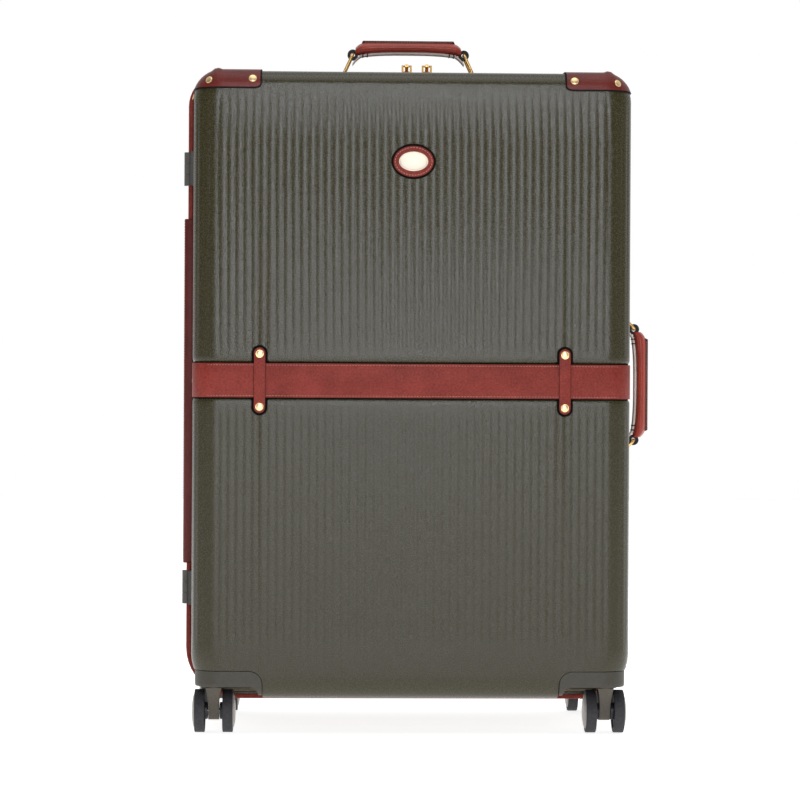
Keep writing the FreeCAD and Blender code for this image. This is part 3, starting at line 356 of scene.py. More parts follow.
BRASS = polished_metal("polished_brass", (0.84, 0.53, 0.19), 0.28, 0.36)
ZIP_BRASS = polished_metal("zip_brass", (0.42, 0.235, 0.06), 0.4, 0.5)
RIVET_BRASS = polished_metal("bright_brass", (0.95, 0.72, 0.38), 0.3, 0.36)
PALE_GOLD = polished_metal("pale_gold", (0.68, 0.6, 0.48), 0.42, 0.5)
STEEL = polished_metal("plain_steel", (0.55, 0.55, 0.55), 0.25, 0.4)
ALUMINIUM = polished_metal("drawn_aluminium", (0.36, 0.36, 0.37), 0.26, 0.4, (500, 500, 8))

# %% [markdown]
# Cloth is woven: two waves crossing at right angles raise the warp and the weft. The zip's tape, the
# lining and the packing straps share the recipe, with their own colour and thread size.

# %% Cloth
def woven(name, dark, light, thread_size):
    finish, shader = new_finish(name, 0.85)
    place = object_place(finish)
    waves = []
    for direction in ("X", "Z"):
        wave = add_node(finish, "ShaderNodeTexWave", bands_direction=direction, Scale=0.16 / thread_size)
        connect(finish, place, wave.inputs["Vector"])
        waves.append(wave.outputs["Fac"])
    tone = grain(finish, place, 1 / thread_size, 2.0)
    connect(finish, two_tone(finish, tone, dark, light), shader.inputs["Base Color"])
    relief(finish, shader, [(wave, thread_size * 0.35) for wave in waves])
    shader.inputs["Sheen Weight"].default_value = 0.25
    return finish


TAPE_CLOTH = woven("zip_tape_cloth", (0.07, 0.03, 0.014), (0.11, 0.052, 0.026), 0.9 * MM)
LINING_CLOTH = woven("lining_cloth", (0.2, 0.155, 0.1), (0.27, 0.215, 0.15), 1.1 * MM)
STRAP_CLOTH = woven("strap_webbing", (0.03, 0.024, 0.018), (0.055, 0.045, 0.035), 1.6 * MM)
print("finishes:", len(bpy.data.materials))

# %% [markdown]
# Some measured pieces already have the right shape and only need their finish: the wheel housings,
# the hinge leaves, the casters' forks and axles, the zip's sliders and the metal of the trolley.

# %% Finishes for the measured pieces
KEPT_FINISHES = {
    "front_housings": HOUSING_FINISH, "rear_housings": HOUSING_FINISH,
    "front_hinge_leaves": HINGE_FINISH, "rear_hinge_leaves": HINGE_FINISH,
    "hinge_pins": STEEL, "handle_brackets": BRASS,
    "trolley_bezel": DARK_FINISH, "trolley_grip": DARK_FINISH, "trolley_button": HOUSING_FINISH,
    "trolley_sleeves": ALUMINIUM, "trolley_mid_tubes": ALUMINIUM, "trolley_inner_tubes": ALUMINIUM,
}
for hand in ("left", "right"):
    KEPT_FINISHES["zip_slider_" + hand] = ZIP_BRASS
    KEPT_FINISHES["zip_pull_" + hand] = BRASS
    for end in ("front", "rear"):
        KEPT_FINISHES["fork_" + end + "_" + hand] = FORK_FINISH
        KEPT_FINISHES["axle_" + end + "_" + hand] = STEEL
for node_name, finish in KEPT_FINISHES.items():
    node = nodes[node_name]
    for place in node.material_slots:
        place.material = finish
print("kept nodes with a finish:", len(KEPT_FINISHES))

# %% [markdown]
# Modelling by hand means selecting, then acting. These helpers do what the mouse would: go into edit
# mode, pick faces, edges or points by where they are, pull, resize and bevel them, apply a modifier, and
# move a piece's place into its mesh so that the object itself sits at the origin.

# %% Helpers for modelling
def activate(piece):
    bpy.ops.object.select_all(action="DESELECT")
    bpy.context.view_layer.objects.active = piece
    piece.select_set(True)


def edit(piece):
    activate(piece)
    bpy.ops.object.mode_set(mode="EDIT")


def done():
    bpy.ops.object.mode_set(mode="OBJECT")


def choose(kind, test):
    bpy.ops.mesh.select_mode(type=kind)
    bpy.ops.mesh.select_all(action="DESELECT")
    mesh = bpy.context.edit_object.data
    shape = bmesh.from_edit_mesh(mesh)
    elements = {"VERT": shape.verts, "EDGE": shape.edges, "FACE": shape.faces}[kind]
    chosen = [element for element in elements if test(element)]
    for element in chosen:
        element.select_set(True)
    shape.select_flush_mode()
    bmesh.update_edit_mesh(mesh)
    return len(chosen)


def pick_all():
    bpy.ops.mesh.select_all(action="SELECT")


def face_outwards():
    pick_all()
    bpy.ops.mesh.normals_make_consistent(inside=False)


def extrude(step):
    bpy.ops.mesh.extrude_region_move(TRANSFORM_OT_translate={"value": step})


def resize(ratio, centre):
    bpy.ops.transform.resize(value=ratio, center_override=centre)


def shift(step):
    bpy.ops.transform.translate(value=step)


def bevel(size, steps, kind="EDGES", **more):
    bpy.ops.mesh.bevel(offset=size, segments=steps, affect=kind, **more)


def settle(piece, name):
    activate(piece)
    bpy.ops.object.transform_apply(location=True, rotation=True, scale=True)
    piece.name = name
    piece.data.name = name
    return piece


def new_piece(name, add, **values):
    add(**values)
    return settle(bpy.context.object, name)


def modify(piece, kind, **values):
    bpy.context.view_layer.objects.active = piece
    modifier = piece.modifiers.new(kind.lower(), kind)
    for key, value in values.items():
        setattr(modifier, key, value)
    bpy.ops.object.modifier_apply(modifier=modifier.name)


def soften(piece, width, segments, degrees):
    modify(piece, "BEVEL", width=width, segments=segments, limit_method="ANGLE",
           angle_limit=math.radians(degrees))


def smooth(piece, degrees=40):
    activate(piece)
    bpy.ops.object.shade_smooth_by_angle(angle=math.radians(degrees))


def add_block(name, low, high):
    centre = (Vector(low) + Vector(high)) / 2
    size = Vector(high) - Vector(low)
    return new_piece(name, bpy.ops.mesh.primitive_cube_add, size=1.0, location=centre, scale=size)


def copy_of(piece, name):
    twin = piece.copy()
    twin.data = piece.data.copy()
    twin.name = name
    bpy.context.scene.collection.objects.link(twin)
    return twin


def cut_away(piece, cutters):
    for cutter in cutters:
        modify(piece, "BOOLEAN", operation="DIFFERENCE", object=cutter, solver="EXACT")
        bpy.data.objects.remove(cutter)


def paint(piece, finishes):
    for index, finish in enumerate(finishes):
        if index < len(piece.data.materials):
            piece.data.materials[index] = finish
        else:
            piece.data.materials.append(finish)


def paint_where(piece, index, test):
    count = 0
    for face in piece.data.polygons:
        if test(face.center):
            face.material_index = index
            count += 1
    return count


def dress(piece, finish, body, slot, *replaced):
    paint(piece, finish if isinstance(finish, (list, tuple)) else [finish])
    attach(piece, body)
    if replaced:
        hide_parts(*replaced)


# %% [markdown]
# Each half of the case is a drafted tray: a block that narrows a little towards its face, with large
# radii at its corners and smaller ones round the face. The same tray, a little larger or smaller, gives
# the shells, the belt, the corner caps and the lining, so one function makes it at any offset. The face's
# edge is softer at the sides than at the top, which is what edge weights on a Bevel modifier are for.

# %% The tray that all half-case pieces come from
ARC_STEPS = 19


def draw_in(depth):
    return DRAFT * depth / HALF_DEPTH


def weight_face_edges(tray, face_y, top_level, side_size, top_size):
    weights = tray.data.attributes.new("bevel_weight_edge", "FLOAT", "EDGE")
    points = tray.data.vertices
    for edge in tray.data.edges:
        start, end = points[edge.vertices[0]].co, points[edge.vertices[1]].co
        if abs(start.y - face_y) > TOUCH or abs(end.y - face_y) > TOUCH:
            continue
        level = (start.z + end.z) / 2
        rise = (level - (top_level - TOP_CORNER)) / TOP_CORNER
        share = max(0.0, min(1.0, rise))
        weights.data[edge.index].value = 1.0 + (top_size / side_size - 1.0) * share


def case_tray(name, side, grow, rim, corner_steps=10, edge_steps=8):
    face = HALF_DEPTH + grow
    half = CASE_HALF_WIDTH + grow - draw_in(rim)
    low = CASE_BOTTOM - grow + draw_in(rim)
    high = CASE_TOP + grow - draw_in(rim)
    near_y, far_y = sorted((SEAM + side * rim, SEAM + side * face))
    tray = add_block(name, (CASE_MIDDLE - half, near_y, low), (CASE_MIDDLE + half, far_y, high))
    face_y = SEAM + side * face
    middle_z = (low + high) / 2
    narrowing = draw_in(face) - draw_in(rim)
    edit(tray)
    choose("VERT", lambda point: abs(point.co.y - face_y) < TOUCH)
    ratio = (1 - narrowing / half, 1, 1 - narrowing / ((high - low) / 2))
    resize(ratio, (CASE_MIDDLE, face_y, middle_z))
    for upper, radius in ((True, TOP_CORNER), (False, BOTTOM_CORNER)):
        choose("EDGE", lambda edge: abs(edge.verts[0].co.y - edge.verts[1].co.y) > 20 * MM
               and (edge.verts[0].co.z > middle_z) == upper)
        bevel(radius + grow, corner_steps, clamp_overlap=False)
    choose("FACE", lambda each: each.normal.y * side < -FACING)
    bpy.ops.mesh.delete(type="FACE")
    done()
    weight_face_edges(tray, face_y, high, SIDE_EDGE + grow, TOP_EDGE + grow)
    modify(tray, "BEVEL", limit_method="WEIGHT", width=SIDE_EDGE + grow, segments=edge_steps,
           use_clamp_overlap=False)
    return tray


# %% [markdown]
# The shells are reeded: shallow upright flutes, about nine millimetres apart, on the face, round its
# upright edges and along the sides. They fade out below the top and above the bottom, and stop short of
# the belt. Straight cuts with Bisect give the mesh a column every quarter flute; the columns in the
# valleys are then pushed in along their normals, and those beside them a quarter as far, which makes
# rounded ribs with narrow valleys. A groove needs only a few rows, so the mesh stays light.

# %% Reeding
FLUTE = 9.3 * MM
FLUTE_STEP = FLUTE / 4
FLUTE_DEPTH = 0.65 * MM
FLUTE_LOW, FLUTE_HIGH = 104 * MM, 741 * MM
FLUTE_FADE = 14 * MM
BELT_REACH = 30 * MM
CHANNEL_HALF = 21.3 * MM
CHANNEL_DEPTH = 0.3 * MM
CHANNEL_START = 16.4 * MM
SHOULDER, SHOULDER_DROP, SHOULDER_STEPS = 5 * MM, 1.45 * MM, 4


def slice_at(place, direction):
    pick_all()
    bpy.ops.mesh.bisect(plane_co=place, plane_no=direction)


def flute_rows():
    rows = []
    for low, high in ((FLUTE_LOW, BELT_LEVEL - BELT_REACH), (BELT_LEVEL + BELT_REACH, FLUTE_HIGH)):
        rows.append((low, low + FLUTE_FADE, high - FLUTE_FADE, high))
    return rows


def slice_columns(side):
    for index in range(-int(STRAIGHT / FLUTE_STEP), int(STRAIGHT / FLUTE_STEP) + 1):
        slice_at((CASE_MIDDLE + index * FLUTE_STEP, 0, 0), (1, 0, 0))
    depth = TURN_DEPTH - FLUTE_STEP
    while depth > SEAM_HALF_GAP + FLUTE:
        slice_at((0, SEAM + side * depth, 0), (0, 1, 0))
        depth -= FLUTE_STEP


def column_number(point, side):
    across = abs(point.x - CASE_MIDDLE)
    depth = (point.y - SEAM) * side
    columns_on_face = int(STRAIGHT / FLUTE_STEP)
    if depth > TURN_DEPTH + 0.01 * MM and across < STRAIGHT + 0.1 * MM:
        return round(across / FLUTE_STEP)
    if depth > TURN_DEPTH + 0.01 * MM:
        angle = math.atan2(across - STRAIGHT, depth - TURN_DEPTH)
        return columns_on_face + round(angle / (math.pi / 2) * ARC_STEPS)
    return columns_on_face + ARC_STEPS + round((TURN_DEPTH - depth) / FLUTE_STEP)


def reeded_points(side, phases):
    rows = flute_rows()

    def wanted(point):
        place = point.co
        inside = any(row[1] - TOUCH < place.z < row[2] + TOUCH for row in rows)
        deep_enough = (place.y - SEAM) * side > SEAM_HALF_GAP + FLUTE
        return inside and deep_enough and column_number(place, side) % 4 in phases

    return wanted


def reed(shell, side):
    edit(shell)
    slice_columns(side)
    for row in flute_rows():
        for level in row:
            slice_at((0, 0, level), (0, 0, 1))
    for sign in (-1, 1):
        slice_at((0, 0, BADGE_LEVEL + sign * BADGE_CLEAR), (0, 0, 1))
    for phases, depth in (((1, 3), FLUTE_DEPTH / 4), ((0,), FLUTE_DEPTH)):
        count = choose("VERT", reeded_points(side, phases))
        bpy.ops.transform.shrink_fatten(value=-depth)
    done()
    print(shell.name, "valley points:", count)


# %% [markdown]
# The belt lies in a channel that runs round the face and both sides. Two cuts mark its edges, and the
# band between them is extruded inwards. Above and below it the face rolls over in a rounded shoulder: a few
# rows of points, each pushed in further the nearer it lies to the channel.

# %% Belt channel
def sink_channel(shell, side):
    edit(shell)
    edges = (BELT_LEVEL - CHANNEL_HALF, BELT_LEVEL + CHANNEL_HALF)
    for level in edges:
        slice_at((0, 0, level), (0, 0, 1))
    slice_at((0, SEAM + side * CHANNEL_START, 0), (0, 1, 0))
    rows = [CHANNEL_HALF + SHOULDER * step / SHOULDER_STEPS for step in range(SHOULDER_STEPS)]
    for sign in (-1, 1):
        for away in rows[1:]:
            slice_at((0, 0, BELT_LEVEL + sign * away), (0, 0, 1))
    for step, away in enumerate(rows):
        drop = SHOULDER_DROP * (1 - math.sqrt(1 - (1 - step / SHOULDER_STEPS) ** 2))
        choose("VERT", lambda point: abs(abs(point.co.z - BELT_LEVEL) - away) < TOUCH
               and (point.co.y - SEAM) * side > CHANNEL_START + 1 * MM)
        bpy.ops.transform.shrink_fatten(value=-drop)

    def in_band(face):
        middle = face.calc_center_median()
        return edges[0] < middle.z < edges[1] and (middle.y - SEAM) * side > CHANNEL_START

    choose("FACE", in_band)
    bpy.ops.mesh.extrude_region_shrink_fatten(TRANSFORM_OT_shrink_fatten={"value": -CHANNEL_DEPTH})
    done()


# %% [markdown]
# Wheel housings are let into the bottom corners, so the shell is notched there with a block whose inner
# upper corner is rounded. The keepers and the badge sit in shallow recesses, and the floor of the gap round
# them is later coloured near-black as a painted shadow.
# These are cut with Boolean modifiers, as a mould maker would sink them into the tool.

# %% Notches and recesses
HOUSING_LENGTH, HOUSING_DEPTH, HOUSING_TOP = 86.3 * MM, 88 * MM, 74.8 * MM
HOUSING_CORNER = 15 * MM
HOUSING_SEAM = 0.7 * MM
KEEPER_SPREAD, KEEPER_WIDTH, KEEPER_HEIGHT = 176 * MM, 13.6 * MM, 76 * MM
BADGE_LEVEL, BADGE_LENGTH, BADGE_HEIGHT = 663 * MM, 46.4 * MM, 35.8 * MM
MOAT = 2.6 * MM
BADGE_CLEAR = BADGE_HEIGHT / 2 + MOAT + 2 * MM
RECESS_RISE, RECESS_HEIGHT = 1.5 * MM, 2.5 * MM
GAP_SKIN, GAP_FLOOR, GAP_START = 0.75 * MM, 2.2 * MM, 16 * MM
BEZEL_END, BEZEL_SIDE = 4 * MM, 1.8 * MM


def housing_block(x_sign, side, grow):
    inner = CASE_MIDDLE + x_sign * (CASE_HALF_WIDTH - HOUSING_LENGTH - grow)
    outer = CASE_MIDDLE + x_sign * 2 * CASE_HALF_WIDTH
    near = SEAM + side * (HALF_DEPTH - HOUSING_DEPTH - grow)
    far = SEAM + side * 2 * HALF_DEPTH
    low_x, high_x = sorted((inner, outer))
    low_y, high_y = sorted((near, far))
    block = add_block("housing_cutter", (low_x, low_y, -0.1), (high_x, high_y, HOUSING_TOP + grow))
    edit(block)
    choose("EDGE", lambda edge: all(abs(end.co.x - inner) < TOUCH and end.co.z > 0 for end in edge.verts))
    bevel(HOUSING_CORNER + grow, 8)
    done()
    return block


def thicken(outline, name, thickness, centre):
    pick_all()
    extrude((0, thickness, 0))
    face_outwards()
    done()
    outline.location = centre
    return settle(outline, name)


def upright_tab(name, width, height, thickness, centre, steps=32):
    tab = new_piece(name, bpy.ops.mesh.primitive_circle_add, vertices=steps, radius=width / 2,
                    fill_type="NGON", rotation=(math.pi / 2, math.pi / steps, 0))
    edit(tab)
    for sign in (-1, 1):
        choose("VERT", lambda point: point.co.z * sign > 0)
        shift((0, 0, sign * (height - width) / 2))
    return thicken(tab, name, thickness, centre)


def oval_disc(name, length, height, thickness, centre, steps=64):
    disc = new_piece(name, bpy.ops.mesh.primitive_circle_add, vertices=steps, radius=0.5,
                     fill_type="NGON", rotation=(math.pi / 2, 0, 0))
    edit(disc)
    pick_all()
    resize((length, 1, height), (0, 0, 0))
    return thicken(disc, name, thickness, centre)


def front_recesses():
    top = SEAM - HALF_DEPTH - RECESS_RISE
    recesses = [oval_disc("badge_recess", BADGE_LENGTH + 2 * MOAT, BADGE_HEIGHT + 2 * MOAT, RECESS_HEIGHT,
                          (CASE_MIDDLE, top, BADGE_LEVEL))]
    for x_sign in (-1, 1):
        centre = (CASE_MIDDLE + x_sign * KEEPER_SPREAD, top, BELT_LEVEL)
        recesses.append(upright_tab("keeper_recess", KEEPER_WIDTH + 2 * MOAT, KEEPER_HEIGHT + 2 * MOAT,
                                    RECESS_HEIGHT, centre))
    return recesses


# Mask of the faces that get the painted shadow: the belt channel on both halves, and the moats round the
# badge and keepers on the front.
def in_painted_gap_shadow(side):
    half_length, half_height = (size / 2 + 2.2 * MOAT for size in (BADGE_LENGTH, BADGE_HEIGHT))

    def test(place):
        across, rise = abs(place.x - CASE_MIDDLE), place.z
        away = (place.y - SEAM) * side
        if abs(rise - BELT_LEVEL) < CHANNEL_HALF + 0.05 * MM and away > GAP_START:
            return True
        if side == REAR or away > HALF_DEPTH - GAP_SKIN or away < HALF_DEPTH - GAP_FLOOR:
            return False
        oval = (across / half_length) ** 2 + ((rise - BADGE_LEVEL) / half_height) ** 2
        on_keeper = abs(across - KEEPER_SPREAD) < KEEPER_WIDTH / 2 + 1.1 * MOAT
        return oval < 1 or (on_keeper and abs(rise - BELT_LEVEL) < KEEPER_HEIGHT / 2 + 1.1 * MOAT)

    return test


def trolley_cutter():
    low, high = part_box("trolley_bezel")
    return [add_block("bezel_cutter", (low.x + BEZEL_END, low.y + BEZEL_SIDE, low.z),
                      (high.x - BEZEL_END, high.y - BEZEL_SIDE, 1.0))]


# %% Shells
WALL = 2.6 * MM
for side in (FRONT, REAR):
    shell = case_tray(ENDS[side] + "_case_shell", side, 0.0, SEAM_HALF_GAP, 10, ARC_STEPS)
    reed(shell, side)
    sink_channel(shell, side)
    modify(shell, "SOLIDIFY", thickness=WALL, offset=-1, use_even_offset=False)
    cutters = [housing_block(x_sign, side, HOUSING_SEAM) for x_sign in (-1, 1)]
    cutters += front_recesses() if side == FRONT else trolley_cutter()
    cut_away(shell, cutters)
    smooth(shell, 16)
    dress(shell, [SHELL_FINISH, PAINTED_GAP_SHADOW], HALVES[side], "shell", ENDS[side] + "_shell")
    # Faces in the gaps take the painted shadow.
    print(shell.name, "faces in the gaps:", paint_where(shell, 1, in_painted_gap_shadow(side)))
    print(shell.name, "faces:", len(shell.data.polygons))

# %% [markdown]
# Stitches are modelled, because a row of small raised threads catches light in a way that a painted line
# does not. One stitch is a slim bead; an Array repeats it to the length of a guide curve and a Curve
# modifier bends the row along it. Both are applied, so what remains is a plain mesh.

# %% Rows along a path
def guide_curve(points):
    data = bpy.data.curves.new("guide", "CURVE")
    data.dimensions = "3D"
    line = data.splines.new("POLY")
    line.points.add(len(points) - 1)
    for target, place in zip(line.points, points):
        target.co = (*place, 1.0)
    guide = bpy.data.objects.new("guide", data)
    scene.collection.objects.link(guide)
    return guide


def row_along(bead, points, pitch):
    guide = guide_curve(points)
    modify(bead, "ARRAY", fit_type="FIT_CURVE", curve=guide, use_relative_offset=False,
           use_constant_offset=True, constant_offset_displace=(pitch, 0, 0))
    modify(bead, "CURVE", object=guide, deform_axis="POS_X")
    bpy.data.objects.remove(guide)
    return bead


STITCH_PITCH = 3.4 * MM


def stitches(name, points, thickness=0.7 * MM):
    bead = new_piece(name, bpy.ops.mesh.primitive_uv_sphere_add, segments=8, ring_count=6, radius=0.5,
                     scale=(STITCH_PITCH * 0.78, thickness, thickness))
    edit(bead)
    pick_all()
    shift((STITCH_PITCH / 2, 0, 0))
    done()
    row_along(bead, points, STITCH_PITCH)
    smooth(bead, 60)
    return bead


# %% [markdown]
# The belt is a strip of hide that follows the case: along the side, round the upright edge, across the
# face and back. It is the tray again, half a millimetre larger, with everything but the band sliced off.
# Solidify gives it the hide's thickness and paints the cut edges black. Two rows of stitching run close
# to its edges.

# %% Leather belt
BELT_HALF = 19.8 * MM
BELT_START = 18 * MM
BELT_PROUD = 0.5 * MM
BELT_THICKNESS = 2.2 * MM
STITCH_INSET = 2.2 * MM


def slice_off(place, direction):
    pick_all()
    bpy.ops.mesh.bisect(plane_co=place, plane_no=direction, clear_outer=True)


def hide_thickness(piece, thickness, edge=0.45 * MM):
    paint(piece, (CHESTNUT, EDGE_PAINT_AND_SHADE))
    modify(piece, "SOLIDIFY", thickness=thickness, offset=-1, material_offset_rim=1)
    soften(piece, edge, 2, 50)
    smooth(piece, 50)


def band_path(side, level, grow):
    radius = SIDE_EDGE + grow
    half_path = [(CASE_HALF_WIDTH - draw_in(BELT_START) + grow, BELT_START + 1 * MM)]
    for step in range(9):
        angle = math.pi / 2 * step / 8
        half_path.append((STRAIGHT + radius * math.cos(angle), TURN_DEPTH + radius * math.sin(angle)))
    both = [(-across, depth) for across, depth in half_path] + half_path[::-1]
    return [Vector((CASE_MIDDLE + across, SEAM + side * depth, level)) for across, depth in both]


belts = {}
for side in (FRONT, REAR):
    belt = case_tray(ENDS[side] + "_leather_belt", side, BELT_PROUD, SEAM_HALF_GAP, 8, 12)
    edit(belt)
    slice_off((0, 0, BELT_LEVEL + BELT_HALF), (0, 0, 1))
    slice_off((0, 0, BELT_LEVEL - BELT_HALF), (0, 0, -1))
    slice_off((0, SEAM + side * BELT_START, 0), (0, -side, 0))
    done()
    hide_thickness(belt, BELT_THICKNESS)
    belts[side] = belt
    for row, offset in (("upper", BELT_HALF - STITCH_INSET), ("lower", STITCH_INSET - BELT_HALF)):
        path = band_path(side, BELT_LEVEL + offset, BELT_PROUD)
        thread = stitches(ENDS[side] + "_belt_stitches_" + row, path)
        dress(thread, PALE_THREAD, HALVES[side], "leather")
    dress(belt, [CHESTNUT, EDGE_PAINT_AND_SHADE], HALVES[side], "leather", ENDS[side] + "_belt")
    print(belt.name, "faces:", len(belt.data.polygons))

# %% [markdown]
# Two upright keepers hold the belt down. Each is a tab with half-round ends: a circle whose halves are
# pulled apart, then extruded to the thickness of the hide and softened along its rim.

# %% Belt keepers
KEEPER_THICKNESS, KEEPER_SEAT, KEEPER_ROUND, KEEPER_EDGE = 2.2 * MM, 0.1 * MM, 0.7 * MM, 0.75
keepers = []
for x_sign, hand in ((-1, "left"), (1, "right")):
    front_y = SEAM - HALF_DEPTH - BELT_PROUD - KEEPER_SEAT - KEEPER_THICKNESS
    centre = (CASE_MIDDLE + x_sign * KEEPER_SPREAD, front_y, BELT_LEVEL)
    keeper = upright_tab("belt_keeper_" + hand, KEEPER_WIDTH, KEEPER_HEIGHT, KEEPER_THICKNESS, centre)
    soften(keeper, KEEPER_ROUND, 3, 60)
    smooth(keeper, 50)
    for face in keeper.data.polygons:
        face.material_index = 1 if abs(face.normal.y) < KEEPER_EDGE else 0
    dress(keeper, [CHESTNUT, EDGE_PAINT_AND_SHADE], "lid", "leather", "belt_keepers")
    keepers.append(keeper)

# %% [markdown]
# Leather caps protect the top corners. A cap is stretched wet over the corner, so it follows the tray
# exactly: the tray again, two millimetres larger, with all but the corners sliced away. Its inner lower
# corner is rounded with a bevel on one point. Short edges along the lower rim are dissolved first, so that
# the inset for the black border stays clean. Where the hide folds over the top of the corner it gathers
# into a low peak.

# %% Corner caps
CAP_LENGTH, CAP_HEIGHT, CAP_CORNER = 83 * MM, 26.5 * MM, 9 * MM
CAP_PROUD, CAP_THICKNESS, CAP_START = 1.9 * MM, 1.8 * MM, 8 * MM
CAP_BORDER, CAP_CLEAR, CAP_MERGE = 1.8 * MM, 5 * MM, 0.25 * MM
CAP_PEAK_FOOT, CAP_PEAK_INNER, CAP_PEAK_OUTER = 207 * MM, 221 * MM, 232 * MM
CAP_PEAK_LIMITS, CAP_PEAK_RISE = (12 * MM, 5 * MM), 0.9 * MM


def crosses_border(edge, level):
    ends = [point.co for point in edge.verts]
    run = ends[1] - ends[0]
    is_low = max(ends[0].z, ends[1].z) < level
    return is_low and not edge.is_boundary and abs(run.z) < 0.6 * run.length


def on_peak(point, limit):
    across = abs(point.co.x - CASE_MIDDLE)
    return CAP_PEAK_INNER < across < CAP_PEAK_OUTER and point.co.z > CASE_TOP - limit


def black_border(hide, width):
    paint(hide, (CHESTNUT, EDGE_PAINT_AND_SHADE))
    edit(hide)
    pick_all()
    hide.active_material_index = 1
    bpy.ops.object.material_slot_assign()
    bpy.ops.mesh.inset(thickness=width, depth=0, use_boundary=True)
    hide.active_material_index = 0
    bpy.ops.object.material_slot_assign()
    done()


caps = {}
for side in (FRONT, REAR):
    cap = case_tray(ENDS[side] + "_leather_caps", side, CAP_PROUD, SEAM_HALF_GAP, 12, 12)
    inner = CASE_HALF_WIDTH - CAP_LENGTH
    face_y = SEAM + side * (HALF_DEPTH + CAP_PROUD)
    low = CASE_TOP - CAP_HEIGHT
    edit(cap)
    slice_off((0, 0, low), (0, 0, -1))
    slice_off((0, SEAM + side * CAP_START, 0), (0, -side, 0))
    for x_sign in (-1, 1):
        slice_at((CASE_MIDDLE + x_sign * inner, 0, 0), (1, 0, 0))
        slice_at((CASE_MIDDLE + x_sign * CAP_PEAK_FOOT, 0, 0), (1, 0, 0))
    choose("FACE", lambda face: abs(face.calc_center_median().x - CASE_MIDDLE) < inner)
    bpy.ops.mesh.delete(type="FACE")
    choose("VERT", lambda point: abs(point.co.z - low) < TOUCH and abs(point.co.y - face_y) < TOUCH
           and abs(abs(point.co.x - CASE_MIDDLE) - inner) < TOUCH)
    bevel(CAP_CORNER, 6, "VERTICES")
    choose("EDGE", lambda edge: crosses_border(edge, low + CAP_CLEAR))
    bpy.ops.mesh.dissolve_edges(use_verts=True)
    pick_all()
    bpy.ops.mesh.remove_doubles(threshold=CAP_MERGE)
    for limit in CAP_PEAK_LIMITS:
        choose("VERT", lambda point: on_peak(point, limit))
        shift((0, 0, CAP_PEAK_RISE))
    done()
    black_border(cap, CAP_BORDER)
    hide_thickness(cap, CAP_THICKNESS)
    dress(cap, [CAP_LEATHER, EDGE_PAINT_AND_SHADE], HALVES[side], "leather", ENDS[side] + "_corner_caps")
    caps[side] = cap
    print(cap.name, "faces:", len(cap.data.polygons))

# %% [markdown]
# The badge is an oval of hide, stitched round its rim, that carries a plain oval plate. The plate is bare
# metal. Its front is inset twice and the middle is pushed back, which leaves a raised rim.

# %% Badge pad
PAD_THICKNESS, PAD_SINK, RIM_INSET, RIM_STEPS = 2.4 * MM, 1.0 * MM, 2.0 * MM, 72
PLATE_LENGTH, PLATE_HEIGHT, PLATE_THICKNESS, PLATE_RIM = 33.8 * MM, 22.5 * MM, 1.0 * MM, 1.3 * MM
PLATE_SEAT, PLATE_SLOPE, PLATE_DIP = 0.1 * MM, 0.4 * MM, 0.3 * MM
pad_front = SEAM - HALF_DEPTH + PAD_SINK - PAD_THICKNESS
badge_pad = oval_disc("badge_leather", BADGE_LENGTH, BADGE_HEIGHT, PAD_THICKNESS,
                      (CASE_MIDDLE, pad_front, BADGE_LEVEL))
soften(badge_pad, 0.8 * MM, 3, 60)
smooth(badge_pad, 50)
dress(badge_pad, CHESTNUT, "lid", "leather", "badge_pad")
plate = oval_disc("badge_metal_plate", PLATE_LENGTH, PLATE_HEIGHT, PLATE_THICKNESS,
                  (CASE_MIDDLE, pad_front - PLATE_THICKNESS + PLATE_SEAT, BADGE_LEVEL))
edit(plate)
choose("FACE", lambda face: face.normal.y < -FACING)
bpy.ops.mesh.inset(thickness=PLATE_RIM, depth=0)
bpy.ops.mesh.inset(thickness=PLATE_SLOPE, depth=-PLATE_DIP)
done()
soften(plate, 0.25 * MM, 2, 30)
smooth(plate, 40)
dress(plate, PALE_GOLD, "lid", "badge_metal", "badge_plate")
rim_path = []
for step in range(RIM_STEPS + 1):
    angle = 2 * math.pi * step / RIM_STEPS
    across = (BADGE_LENGTH / 2 - RIM_INSET) * math.cos(angle)
    up = (BADGE_HEIGHT / 2 - RIM_INSET) * math.sin(angle)
    rim_path.append(Vector((CASE_MIDDLE + across, pad_front, BADGE_LEVEL + up)))
dress(stitches("badge_stitches", rim_path, 1.0 * MM), PALE_THREAD, "lid", "leather")

# %% [markdown]
# Brass rivets fix the keepers, the caps and the belt's ends. One head is modelled from a sphere: the lower
# half is sliced off, the rest is flattened, and the rim is extruded into a thin collar that is coloured
# black, a painted shadow round the bright head. Copies are set on the leather, each where the nearest point
# of the hide is, and turned to the hide's own direction.

# %% Rivets
RIVET_RADIUS, RIVET_RISE = 4.5 * MM, 1.0 * MM
DOME_SHARE, COLLAR_START, COLLAR_DROP, COLLAR_LIFT = 0.9, 0.92, 0.3 * MM, 0.25 * MM
CAP_RIVET_INSETS, CAP_SIDE_DROP = (72.5 * MM, 17.5 * MM), 7.5 * MM
CAP_FACE_DEPTH, CAP_SIDE_DEPTH, BELT_END_DEPTH = 155 * MM, 60 * MM, 25.5 * MM
KEEPER_RIVET_RISE = 30.5 * MM


